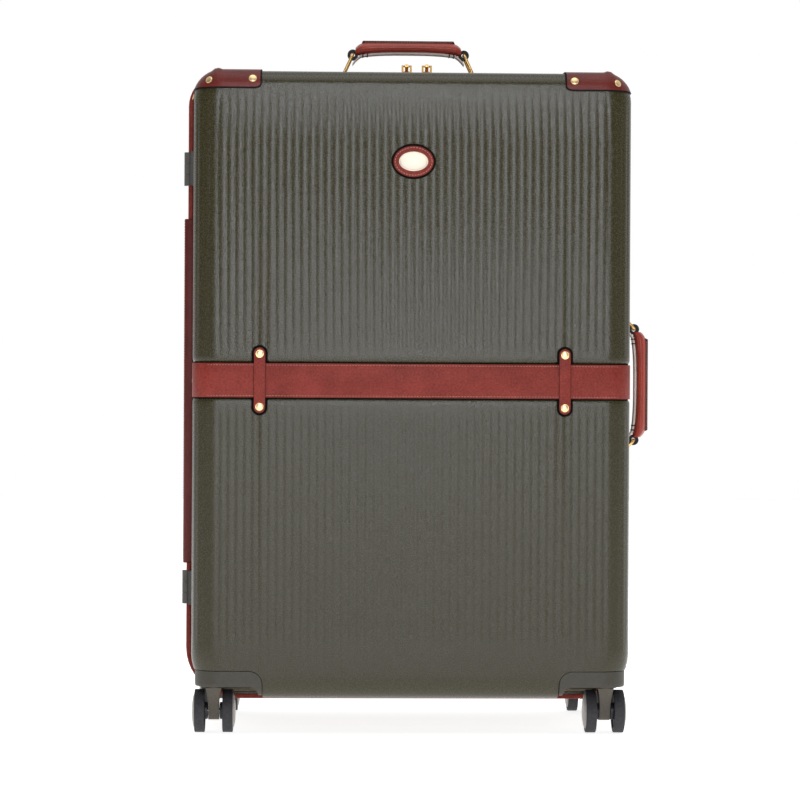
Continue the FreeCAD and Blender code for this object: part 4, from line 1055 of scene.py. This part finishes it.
def rivet_head():
    head = new_piece("rivet", bpy.ops.mesh.primitive_uv_sphere_add, segments=28, ring_count=14,
                     radius=RIVET_RADIUS)
    edit(head)
    slice_off((0, 0, 0), (0, 0, -1))
    pick_all()
    resize((DOME_SHARE, DOME_SHARE, 0.8 * RIVET_RISE / RIVET_RADIUS), (0, 0, 0))
    choose("EDGE", lambda edge: edge.is_boundary)
    extrude((0, 0, 0))
    resize((1 / DOME_SHARE, 1 / DOME_SHARE, 1), (0, 0, 0))
    extrude((0, 0, -COLLAR_DROP))
    bpy.ops.mesh.edge_face_add()
    pick_all()
    shift((0, 0, COLLAR_LIFT))
    face_outwards()
    done()
    smooth(head, 45)
    # The collar faces take the black: a painted shadow round the head.
    for face in head.data.polygons:
        face.material_index = 1 if face.center.xy.length > COLLAR_START * RIVET_RADIUS else 0
    return head


def set_rivet(head, leather_piece, target):
    place, normal = leather_piece.closest_point_on_mesh(Vector(target))[1:3]
    rivet = copy_of(head, "rivet_set")
    turn = Vector((0, 0, 1)).rotation_difference(normal).to_matrix().to_4x4()
    rivet.data.transform(Matrix.Translation(place) @ turn)
    return rivet


def join_pieces(parts, name):
    bpy.ops.object.select_all(action="DESELECT")
    for part in parts:
        part.select_set(True)
    bpy.context.view_layer.objects.active = parts[0]
    bpy.ops.object.join()
    return settle(parts[0], name)


head = rivet_head()
for side in (FRONT, REAR):
    heads = []
    level = CASE_TOP - CAP_HEIGHT / 2
    for x_sign in (-1, 1):
        for inset in CAP_RIVET_INSETS:
            target = (CASE_MIDDLE + x_sign * (CASE_HALF_WIDTH - inset), SEAM + side * CAP_FACE_DEPTH, level)
            heads.append(set_rivet(head, caps[side], target))
        outside = CASE_MIDDLE + x_sign * 1.2 * CASE_HALF_WIDTH
        cap_target = (outside, SEAM + side * CAP_SIDE_DEPTH, level - CAP_SIDE_DROP)
        heads.append(set_rivet(head, caps[side], cap_target))
        heads.append(set_rivet(head, belts[side], (outside, SEAM + side * BELT_END_DEPTH, BELT_LEVEL)))
        if side == FRONT:
            tab = keepers[0] if x_sign < 0 else keepers[1]
            for sign in (-1, 1):
                target = (CASE_MIDDLE + x_sign * KEEPER_SPREAD, SEAM - 2 * HALF_DEPTH,
                          BELT_LEVEL + sign * KEEPER_RIVET_RISE)
                heads.append(set_rivet(head, tab, target))
    brass_heads = join_pieces(heads, ENDS[side] + "_brass_rivets")
    dress(brass_heads, [RIVET_BRASS, EDGE_PAINT_AND_SHADE], HALVES[side], "brass", ENDS[side] + "_rivets")
    print(brass_heads.name, len(heads), "heads")
bpy.data.objects.remove(head)

# %% [markdown]
# A carrying handle is a padded leather grip, arched below, with a dark band sewn along its top. It is
# modelled lying along X, with the hinge line of its two rings at the origin, and then set in place: upright
# on the top, and turned a quarter on the side. The grip grows out of one ring of points, extruded step by
# step along its length and resized at each step, as one would shape it by eye.

# %% Grips
EYE_SPREAD, LOOP_SPREAD = 81 * MM, 67.7 * MM
GRIP_REACH, GRIP_WIDTH = 64.6 * MM, 24 * MM
UNDERSIDE_MIDDLE, UNDERSIDE_DROP = 2.5 * MM, 4.3 * MM
CREST, CREST_DROP, SHOULDER_SHARE = 15.2 * MM, 6.4 * MM, 0.88
HANDLE_DEPTH, SIDE_HANDLE_LEVEL = 45 * MM, 408 * MM
EYE_RISE = 9.5 * MM
BELLY_LEVEL, BELLY_SHAPE = -0.24, (1.12, 1.12, 0.86)
CROWN_LEVEL, CROWN_SHAPE = 0.3, (1, 0.7, 1)
HALF_STATIONS = ((1.0, 0.68), (0.99, 0.8), (0.95, 0.9), (0.88, 0.97), (0.7, 1.0), (0.35, 1.0))
GRIP_STATIONS = ([(-share, width) for share, width in HALF_STATIONS] + [(0.0, 1.0)]
                 + list(reversed(HALF_STATIONS)))
eye_stand = EYE_RISE - draw_in(HANDLE_DEPTH)
TOP_PLACE = Matrix.Translation((CASE_MIDDLE, SEAM + HANDLE_DEPTH, CASE_TOP + eye_stand))
side_spot = (CASE_MIDDLE + CASE_HALF_WIDTH + eye_stand, SEAM + HANDLE_DEPTH, SIDE_HANDLE_LEVEL)
SIDE_PLACE = Matrix.Translation(side_spot) @ Matrix.Rotation(math.pi / 2, 4, "Y")
HANDLES = (("top", TOP_PLACE, 28.5 * MM), ("side", SIDE_PLACE, 12.0 * MM))


def grip_underside(across, rise):
    return rise + UNDERSIDE_MIDDLE - UNDERSIDE_DROP * abs(across / GRIP_REACH) ** 3


def grip_crest(across, rise):
    beyond = max(0.0, abs(across / GRIP_REACH) - SHOULDER_SHARE) / (1 - SHOULDER_SHARE)
    return rise + CREST - CREST_DROP * beyond ** 1.3


def grip_section(station, rise):
    low, high = grip_underside(station * GRIP_REACH, rise), grip_crest(station * GRIP_REACH, rise)
    return (low + high) / 2, high - low


def leather_grip(name, rise):
    grip = new_piece(name, bpy.ops.mesh.primitive_circle_add, vertices=32, radius=0.5,
                     fill_type="NGON", rotation=(math.pi / 2, 0, math.pi / 2))
    station, width = GRIP_STATIONS[0]
    middle, height = grip_section(station, rise)
    edit(grip)
    pick_all()
    resize((1, GRIP_WIDTH, 1), (0, 0, 0))
    choose("VERT", lambda point: point.co.z < BELLY_LEVEL)
    resize(BELLY_SHAPE, (0, 0, BELLY_LEVEL))
    choose("VERT", lambda point: point.co.z > CROWN_LEVEL)
    resize(CROWN_SHAPE, (0, 0, CROWN_LEVEL))
    pick_all()
    resize((1, width, height), (0, 0, 0))
    shift((station * GRIP_REACH, 0, middle))
    for next_station, next_width in GRIP_STATIONS[1:]:
        next_middle, next_height = grip_section(next_station, rise)
        step = ((next_station - station) * GRIP_REACH, 0, next_middle - middle)
        extrude(step)
        ratio = (1, next_width / width, next_height / height)
        resize(ratio, (0, 0, next_middle))
        station, width, middle, height = next_station, next_width, next_middle, next_height
    face_outwards()
    done()
    modify(grip, "SUBSURF", levels=1, render_levels=1)
    smooth(grip, 60)
    return grip


BAND_REACH, BAND_WIDTH, BAND_LOW, BAND_HIGH = 55.5 * MM, 3.4 * MM, 12.6 * MM, 17.7 * MM
BAND_SPLAY, BAND_THREAD_DROP, BAND_THREAD_SHARE = 1.04, 1.7 * MM, 0.97


def sewn_band(name, rise):
    band = add_block(name, (-BAND_REACH, -BAND_WIDTH / 2, rise + BAND_LOW),
                     (BAND_REACH, BAND_WIDTH / 2, rise + BAND_HIGH))
    edit(band)
    choose("VERT", lambda point: point.co.z < rise + BAND_HIGH - 1 * MM)
    resize((BAND_SPLAY, 1, 1), (0, 0, 0))
    done()
    soften(band, 0.6 * MM, 2, 50)
    smooth(band, 50)
    return band


def band_stitches(name, rise, y_sign):
    level = rise + BAND_HIGH - BAND_THREAD_DROP
    reach = BAND_REACH * BAND_THREAD_SHARE
    ends = [Vector((sign * reach, y_sign * BAND_WIDTH / 2, level)) for sign in (-1, 1)]
    return stitches(name, ends, 0.8 * MM)


def hang(piece, place, finish, body, slot, *replaced):
    piece.data.transform(place)
    dress(piece, finish, body, slot, *replaced)


for prefix, place, rise in HANDLES:
    body = prefix + "_handle"
    grip = leather_grip(prefix + "_leather_grip", rise)
    # The grip takes the lighter chestnut, a painted highlight for the light from above.
    hang(grip, place, LIT_GRIP_LEATHER, body, "leather", prefix + "_grip")
    hang(sewn_band(prefix + "_grip_seam", rise), place, DARK_LEATHER, body, "leather")
    for y_sign, face in ((-1, "front"), (1, "rear")):
        thread = band_stitches(prefix + "_grip_stitches_" + face, rise, y_sign)
        hang(thread, place, PALE_THREAD, body, "leather")
    print(grip.name, "faces:", len(grip.data.polygons))

# %% [markdown]
# Under the grip runs a strip of paler hide, held by two bars of black thread at each end, whose tails run
# down into the rings. It is one small rectangle, extruded from point to point. At each end a loop of black
# leather wraps a brass ring, and the ring swings in the eye of its bracket. The ring's path is a rectangle
# with rounded corners: a plane with its points bevelled, turned into a curve that carries a round wire.

# %% Lining strips, loops and rings
RING_WIRE, RING_WIDTH, RING_CORNER = 1.8 * MM, 22 * MM, 5 * MM
UNDERLAY_SINK = 0.6 * MM
LOOP_OUTER, LOOP_WIDTH, LOOP_WALL = 6.4 * MM, 11 * MM, 3.6 * MM
UNDERLAY_WIDTH, UNDERLAY_THICKNESS, UNDERLAY_REACH = 14 * MM, 2.6 * MM, 57 * MM
UNDERLAY_TAIL = ((60.5 * MM, -3.4 * MM), (64.5 * MM, -7.2 * MM), (68.0 * MM, -11.5 * MM))
BAR_PLACES, BAR_SIZE, BAR_SIDE, BAR_PROUD = (50 * MM, 55.5 * MM), 1.4 * MM, 0.3 * MM, 0.4 * MM


def lining_path(rise):
    middle = []
    for index in range(-8, 9):
        across = UNDERLAY_REACH * index / 8
        middle.append((across, grip_underside(across, rise) - UNDERLAY_SINK))
    tail = [(across, rise + drop) for across, drop in UNDERLAY_TAIL]
    return [(-across, level) for across, level in reversed(tail)] + middle + tail


def lining_strip(name, rise):
    path = lining_path(rise)
    strip = new_piece(name, bpy.ops.mesh.primitive_plane_add, size=1.0, rotation=(0, math.pi / 2, 0))
    edit(strip)
    pick_all()
    resize((1, UNDERLAY_WIDTH, UNDERLAY_THICKNESS), (0, 0, 0))
    shift((path[0][0], 0, path[0][1]))
    for (before, level_before), (after, level_after) in zip(path, path[1:]):
        step = (after - before, 0, level_after - level_before)
        extrude(step)
    face_outwards()
    done()
    soften(strip, 0.4 * MM, 2, 60)
    smooth(strip, 50)
    return strip


def thread_bars(name, rise):
    bars = []
    half = Vector((BAR_SIZE / 2, UNDERLAY_WIDTH / 2 + BAR_SIDE, UNDERLAY_THICKNESS / 2 + BAR_PROUD))
    for across in BAR_PLACES:
        for sign in (-1, 1):
            level = grip_underside(across, rise) - UNDERLAY_SINK
            centre = Vector((sign * across, 0, level))
            bars.append(add_block("bar", centre - half, centre + half))
    return join_pieces(bars, name)


def leather_loop(name, x_sign, rise):
    loop = new_piece(name, bpy.ops.mesh.primitive_cylinder_add, vertices=32, radius=LOOP_OUTER,
                     depth=LOOP_WIDTH, end_fill_type="NOTHING", rotation=(math.pi / 2, 0, 0),
                     location=(x_sign * LOOP_SPREAD, 0, rise))
    modify(loop, "SOLIDIFY", thickness=LOOP_WALL, offset=-1)
    soften(loop, 0.6 * MM, 3, 50)
    smooth(loop, 50)
    return loop


def wire_ring(name, x_sign, rise):
    lower, upper = Vector((x_sign * EYE_SPREAD, 0, 0)), Vector((x_sign * LOOP_SPREAD, 0, rise))
    along = upper - lower
    ring = new_piece(name, bpy.ops.mesh.primitive_plane_add, size=1.0)
    edit(ring)
    pick_all()
    resize((along.length, RING_WIDTH, 1), (0, 0, 0))
    bevel(RING_CORNER, 8, "VERTICES")
    pick_all()
    bpy.ops.mesh.delete(type="ONLY_FACE")
    done()
    bpy.ops.object.convert(target="CURVE")
    ring = bpy.context.object
    ring.data.bevel_depth = RING_WIRE
    ring.data.bevel_resolution = 4
    bpy.ops.object.convert(target="MESH")
    ring = bpy.context.object
    turn = Vector((1, 0, 0)).rotation_difference(along.normalized()).to_matrix().to_4x4()
    ring.data.transform(Matrix.Translation((lower + upper) / 2) @ turn)
    smooth(ring, 60)
    return ring


for prefix, place, rise in HANDLES:
    body = prefix + "_handle"
    strip = lining_strip(prefix + "_lining_strip", rise)
    hang(strip, place, PALE_LEATHER, body, "pale_leather", prefix + "_grip_lining")
    hang(thread_bars(prefix + "_lining_bars", rise), place, EDGE_PAINT_AND_SHADE, body, "black_leather")
    for x_sign, end in ((-1, "a"), (1, "b")):
        loop = leather_loop(prefix + "_leather_loop_" + end, x_sign, rise)
        hang(loop, place, BLACK_LEATHER, body, "black_leather", prefix + "_loops")
        ring = wire_ring(prefix + "_brass_ring_" + end, x_sign, rise)
        hang(ring, place, BRASS, body, "brass", prefix + "_rings")
        print(ring.name, "faces:", len(ring.data.polygons))

# %% [markdown]
# Between the two hinges a padded leather spine covers the seam on the left side. It is a long block with
# rounded outer edges and two rows of stitching down its outer face.

# %% Hinge spine
SPINE_ROUND, SPINE_SEAT, THREAD_INSET, THREAD_END = 4 * MM, 0.1 * MM, 5 * MM, 4 * MM
spine_low, spine_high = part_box("hinge_strip")
spine_back = CASE_MIDDLE - CASE_HALF_WIDTH - SPINE_SEAT
spine = add_block("leather_spine", spine_low, (spine_back, spine_high.y, spine_high.z))
edit(spine)
choose("EDGE", lambda edge: all(abs(end.co.x - spine_low.x) < TOUCH for end in edge.verts)
       and abs(edge.verts[0].co.z - edge.verts[1].co.z) > 0.1)
bevel(SPINE_ROUND, 6)
done()
soften(spine, 0.8 * MM, 3, 60)
smooth(spine, 50)
dress(spine, CAP_LEATHER, "rear_half", "leather", "hinge_strip")
for name, depth in (("front", spine_low.y + THREAD_INSET), ("rear", spine_high.y - THREAD_INSET)):
    path = [Vector((spine_low.x, depth, level))
            for level in (spine_low.z + THREAD_END, spine_high.z - THREAD_END)]
    dress(stitches("spine_stitches_" + name, path), THREAD, "rear_half", "leather")

# %% [markdown]
# The zip runs all round the seam. Its woven tape is a narrow ring with the case's own outline, bound with
# leather piping that stands out from the shell, leaves room for the hinges and the spine, and sags a little
# underneath. The teeth are small brass blocks set along it, one row on each half. The outline is a plane
# with bevelled corners.

# %% Zip tape and teeth
STRIP_LOW, STRIP_HIGH = spine_low.z, spine_high.z
hinges_low, hinges_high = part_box("rear_hinge_leaves")
HINGE_HEIGHT, HINGE_CLEAR, STRIP_CLEAR = 40 * MM, 0.4 * MM, 0.2 * MM
HINGE_GAP_LOW, HINGE_GAP_HIGH = hinges_low.z - HINGE_CLEAR, hinges_high.z + HINGE_CLEAR
HINGE_REACH = HINGE_HEIGHT + 2 * HINGE_CLEAR
PIPING_PROUD, PIPING_SAG, PIPING_WALL, PIPING_ROUND = 7.0 * MM, 2.6 * MM, 6.1 * MM, 1.6 * MM
TAPE_START, TAPE_END, TAPE_PROUD, TAPE_WALL = 1.5 * MM, 6.0 * MM, 0.8 * MM, 5.0 * MM
FLANGE_END, FLANGE_PROUD, FLANGE_WALL = 18.0 * MM, -3.3 * MM, 1.2 * MM
TOOTH_PITCH, TOOTH_LENGTH, TOOTH_HALF_WIDTH, TOOTH_HALF_HEIGHT = 2.6 * MM, 1.7 * MM, 0.65 * MM, 0.8 * MM
TOOTH_AWAY = 0.85 * MM


def outline_plane(name, grow):
    plane = new_piece(name, bpy.ops.mesh.primitive_plane_add, size=1.0, rotation=(math.pi / 2, 0, 0))
    middle = (CASE_TOP + CASE_BOTTOM) / 2
    size = (2 * (CASE_HALF_WIDTH + grow), 1, CASE_TOP - CASE_BOTTOM + 2 * grow)
    edit(plane)
    pick_all()
    resize(size, (0, 0, 0))
    shift((CASE_MIDDLE, SEAM, middle))
    for upper, radius in ((True, TOP_CORNER), (False, BOTTOM_CORNER)):
        choose("VERT", lambda point: (point.co.z > middle) == upper)
        bevel(radius + grow, 10, "VERTICES")
    done()
    return plane


def outline_band(name, grow, start, end, wall):
    band = outline_plane(name, grow)
    edit(band)
    pick_all()
    bpy.ops.mesh.delete(type="ONLY_FACE")
    pick_all()
    shift((0, start, 0))
    extrude((0, end - start, 0))
    face_outwards()
    done()
    modify(band, "SOLIDIFY", thickness=wall, offset=-1)
    return band


def teeth_path(grow):
    plane = outline_plane("teeth_outline", grow)
    loop = [plane.data.vertices[index].co.copy() for index in plane.data.polygons[0].vertices]
    bpy.data.objects.remove(plane)
    on_spine = [place.x < CASE_MIDDLE - CASE_HALF_WIDTH * 0.99 for place in loop]
    start = next(i for i in range(len(loop)) if on_spine[i] and on_spine[i - 1])
    ordered = loop[start:] + loop[:start]
    if ordered[0].z < BELT_LEVEL:
        ordered.reverse()
    first = Vector((ordered[0].x, ordered[0].y, HINGE_GAP_HIGH + 1 * MM))
    last = Vector((ordered[-1].x, ordered[-1].y, HINGE_GAP_LOW - 1 * MM))
    return [first] + ordered + [last]


def left_gap(low, high):
    return add_block("left_gap", (-1.0, -0.5, low), (CASE_MIDDLE, 0.5, high))


for side in (FRONT, REAR):
    start, end = side * TAPE_START, side * TAPE_END
    piping = outline_band(ENDS[side] + "_leather_piping", PIPING_PROUD, start, end, PIPING_WALL)
    soften(piping, PIPING_ROUND, 4, 60)
    cut_away(piping, [left_gap(HINGE_GAP_LOW, HINGE_GAP_LOW + HINGE_REACH),
                      left_gap(STRIP_LOW - STRIP_CLEAR, STRIP_HIGH + STRIP_CLEAR),
                      left_gap(HINGE_GAP_HIGH - HINGE_REACH, HINGE_GAP_HIGH)])
    edit(piping)
    choose("VERT", lambda point: point.co.z < CASE_BOTTOM
           and abs(point.co.x - CASE_MIDDLE) < CASE_HALF_WIDTH - 0.8 * BOTTOM_CORNER)
    shift((0, 0, -PIPING_SAG))
    done()
    smooth(piping, 50)
    dress(piping, CHESTNUT, HALVES[side], "leather", ENDS[side] + "_zip_tape")
    edge = outline_band(ENDS[side] + "_tape", TAPE_PROUD, start, end, TAPE_WALL)
    flange = outline_band("flange", FLANGE_PROUD, end, side * FLANGE_END, FLANGE_WALL)
    tape = join_pieces([edge, flange], ENDS[side] + "_woven_tape")
    cut_away(tape, [left_gap(STRIP_LOW, STRIP_HIGH)])
    smooth(tape, 40)
    dress(tape, TAPE_CLOTH, HALVES[side], "zip_tape", ENDS[side] + "_zip_tape")
    tooth = add_block(ENDS[side] + "_brass_teeth", (0, -TOOTH_HALF_WIDTH, -TOOTH_HALF_HEIGHT),
                      (TOOTH_LENGTH, TOOTH_HALF_WIDTH, TOOTH_HALF_HEIGHT))
    modify(tooth, "BEVEL", width=0.3 * MM, segments=1)
    path = [place + Vector((0, side * TOOTH_AWAY, 0)) for place in teeth_path(PIPING_PROUD - PIPING_ROUND)]
    row_along(tooth, path, TOOTH_PITCH)
    dress(tooth, BRASS, HALVES[side], "brass", ENDS[side] + "_zip_teeth")
    print(tooth.name, "faces:", len(tooth.data.polygons))

# %% [markdown]
# Each caster runs on two wheels. A wheel is a rubber tyre with a flat tread, a pale domed cover on its
# outer side and a dark boss towards the fork. It is made once, lying along X, from cylinders whose rims are
# bevelled and whose end faces are inset and moved, and is then copied to the eight places.

# %% Wheels
TYRE_RADIUS, TYRE_WIDTH, HUB_RADIUS = 25 * MM, 12 * MM, 20.5 * MM
BOSS_RADIUS, BOSS_REACH = 10 * MM, 3.4 * MM
TYRE_RINGS = ((1, 3.0 * MM, 0), (1, 0.6 * MM, -0.8 * MM), (-1, 4.0 * MM, 0), (-1, 0.8 * MM, -1.5 * MM))
COVER_RINGS = ((1.0 * MM, 0.8 * MM), (2.5 * MM, 0.9 * MM), (5.0 * MM, 0.9 * MM), (5.0 * MM, 0.4 * MM))


def lying_drum(name, radius, inner, outer, steps=56):
    middle = (inner + outer) / 2
    return new_piece(name, bpy.ops.mesh.primitive_cylinder_add, vertices=steps, radius=radius,
                     depth=outer - inner, rotation=(0, math.pi / 2, 0), location=(middle, 0, 0))


def inset_end(direction, inward, outward):
    choose("FACE", lambda face: face.normal.x * direction > 0.95 and face.calc_area() > 60 * MM * MM)
    bpy.ops.mesh.inset(thickness=inward, depth=outward)


def tyre_and_cover():
    tyre = lying_drum("tyre", TYRE_RADIUS, 0, TYRE_WIDTH)
    soften(tyre, 1.1 * MM, 3, 60)
    edit(tyre)
    for direction, inward, outward in TYRE_RINGS:
        inset_end(direction, inward, outward)
    done()
    smooth(tyre, 40)
    cover = lying_drum("cover", HUB_RADIUS, TYRE_WIDTH - 2 * MM, TYRE_WIDTH)
    edit(cover)
    for inward, outward in COVER_RINGS:
        inset_end(1, inward, outward)
    done()
    smooth(cover, 35)
    boss = lying_drum("boss", BOSS_RADIUS, -BOSS_REACH, 1.6 * MM, 36)
    soften(boss, 0.8 * MM, 2, 60)
    smooth(boss, 40)
    return tyre, cover, boss


wheel_parts = tyre_and_cover()
WHEEL_LOOKS = (("tyre", TYRE_FINISH, "tyre"), ("cover", HUB_FINISH, "housing_plastic"),
               ("boss", DARK_FINISH, "dark_plastic"))
for node_name in sorted(name for name in nodes if name.startswith("wheel_")):
    corner = node_name[len("wheel_"):-2]
    low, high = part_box(node_name)
    fork_low, fork_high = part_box("fork_" + corner)
    outward = 1 if low.x + high.x > fork_low.x + fork_high.x else -1
    inner_x = low.x if outward > 0 else high.x
    turn = Matrix.Rotation(0 if outward > 0 else math.pi, 4, "Z")
    place = Matrix.Translation((inner_x, (low.y + high.y) / 2, (low.z + high.z) / 2)) @ turn
    for part, (label, finish, slot) in zip(wheel_parts, WHEEL_LOOKS):
        piece = copy_of(part, node_name.replace("wheel", label))
        piece.data.transform(place)
        dress(piece, finish, node_name, slot, node_name)
for part in wheel_parts:
    bpy.data.objects.remove(part)
print("wheels set")

# %% [markdown]
# Inside, each half is lined with woven cloth that is glued to the shell. It is the tray again, a little
# smaller, closed for a moment so that the wheel housings and, at the back, the tunnels of the trolley can
# be cut out of it, then opened again and given the thickness of the cloth.

# %% Linings
LINING_GROW, LINING_RIM, LINING_THICKNESS = -3.3 * MM, 18.3 * MM, 1.2 * MM
ROOM_MARGIN, TUNNEL_WIDTH, HOUSING_CLEAR = 0.5 * MM, 27 * MM, 1.0 * MM


def trolley_room():
    rooms = []
    bezel_low, bezel_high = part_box("trolley_bezel")
    sleeves_low, sleeves_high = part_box("trolley_sleeves")
    back = SEAM + 2 * HALF_DEPTH
    near = sleeves_low.y - ROOM_MARGIN
    for left in (sleeves_low.x - ROOM_MARGIN, sleeves_high.x + ROOM_MARGIN - TUNNEL_WIDTH):
        rooms.append(add_block("tunnel", (left, near, -0.1), (left + TUNNEL_WIDTH, back, CASE_TOP)))
    rooms.append(add_block("pocket", (bezel_low.x, bezel_low.y - ROOM_MARGIN, bezel_low.z - 1 * MM),
                           (bezel_high.x, back, 1.0)))
    return rooms


for side in (FRONT, REAR):
    lining = case_tray(ENDS[side] + "_cloth_lining", side, LINING_GROW, LINING_RIM, 8, 8)
    edit(lining)
    choose("EDGE", lambda edge: edge.is_boundary)
    bpy.ops.mesh.edge_face_add()
    face_outwards()
    done()
    cutters = [housing_block(x_sign, side, HOUSING_CLEAR) for x_sign in (-1, 1)]
    cut_away(lining, cutters + (trolley_room() if side == REAR else []))
    edit(lining)
    rim_y = SEAM + side * LINING_RIM
    choose("FACE", lambda face: all(abs(corner.co.y - rim_y) < TOUCH for corner in face.verts))
    bpy.ops.mesh.delete(type="FACE")
    done()
    modify(lining, "SOLIDIFY", thickness=LINING_THICKNESS, offset=-1)
    smooth(lining, 40)
    dress(lining, LINING_CLOTH, HALVES[side], "lining_cloth", ENDS[side] + "_lining")

# %% [markdown]
# Packing straps hold the clothes in the rear half: two upright bands of webbing, a cross band and a flat
# buckle. Webbing is thin and keeps its width, so each band is a slim block with softened edges.

# %% Packing straps
straps_low, straps_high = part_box("packing_straps")
STRAP_HALF, STRAP_THICKNESS, STRAP_SPREAD, STRAP_LEVEL = 17 * MM, 1.4 * MM, 72 * MM, 405 * MM
strap_back = straps_high.y
strap_front = strap_back - STRAP_THICKNESS


def webbing(name, left, right, low, high, front=strap_front, back=strap_back):
    band = add_block(name, (CASE_MIDDLE + left, front, low), (CASE_MIDDLE + right, back, high))
    modify(band, "BEVEL", width=0.4 * MM, segments=2)
    smooth(band, 50)
    return band


bands = [webbing("band", x_sign * STRAP_SPREAD - STRAP_HALF, x_sign * STRAP_SPREAD + STRAP_HALF,
                 straps_low.z, straps_high.z) for x_sign in (-1, 1)]
bands.append(webbing("band", STRAP_HALF - STRAP_SPREAD, STRAP_SPREAD - STRAP_HALF,
                     STRAP_LEVEL - STRAP_HALF, STRAP_LEVEL + STRAP_HALF))
dress(join_pieces(bands, "packing_webbing"), STRAP_CLOTH, "rear_half", "strap_cloth", "packing_straps")
BUCKLE_HALF_WIDTH, BUCKLE_HALF_HEIGHT, BUCKLE_CORNER = 31 * MM, 23 * MM, 6 * MM
BUCKLE_RIM, BUCKLE_SLOPE, BUCKLE_DIP = 4 * MM, 0.8 * MM, 1.2 * MM
buckle = add_block("strap_buckle",
                   (CASE_MIDDLE - BUCKLE_HALF_WIDTH, straps_low.y, STRAP_LEVEL - BUCKLE_HALF_HEIGHT),
                   (CASE_MIDDLE + BUCKLE_HALF_WIDTH, strap_front, STRAP_LEVEL + BUCKLE_HALF_HEIGHT))
edit(buckle)
choose("EDGE", lambda edge: abs(edge.verts[0].co.y - edge.verts[1].co.y) > 2 * MM)
bevel(BUCKLE_CORNER, 5)
choose("FACE", lambda face: face.normal.y < -FACING)
bpy.ops.mesh.inset(thickness=BUCKLE_RIM, depth=0)
bpy.ops.mesh.inset(thickness=BUCKLE_SLOPE, depth=-BUCKLE_DIP)
done()
soften(buckle, 0.7 * MM, 3, 60)
smooth(buckle, 45)
dress(buckle, DARK_FINISH, "rear_half", "dark_plastic", "packing_straps")
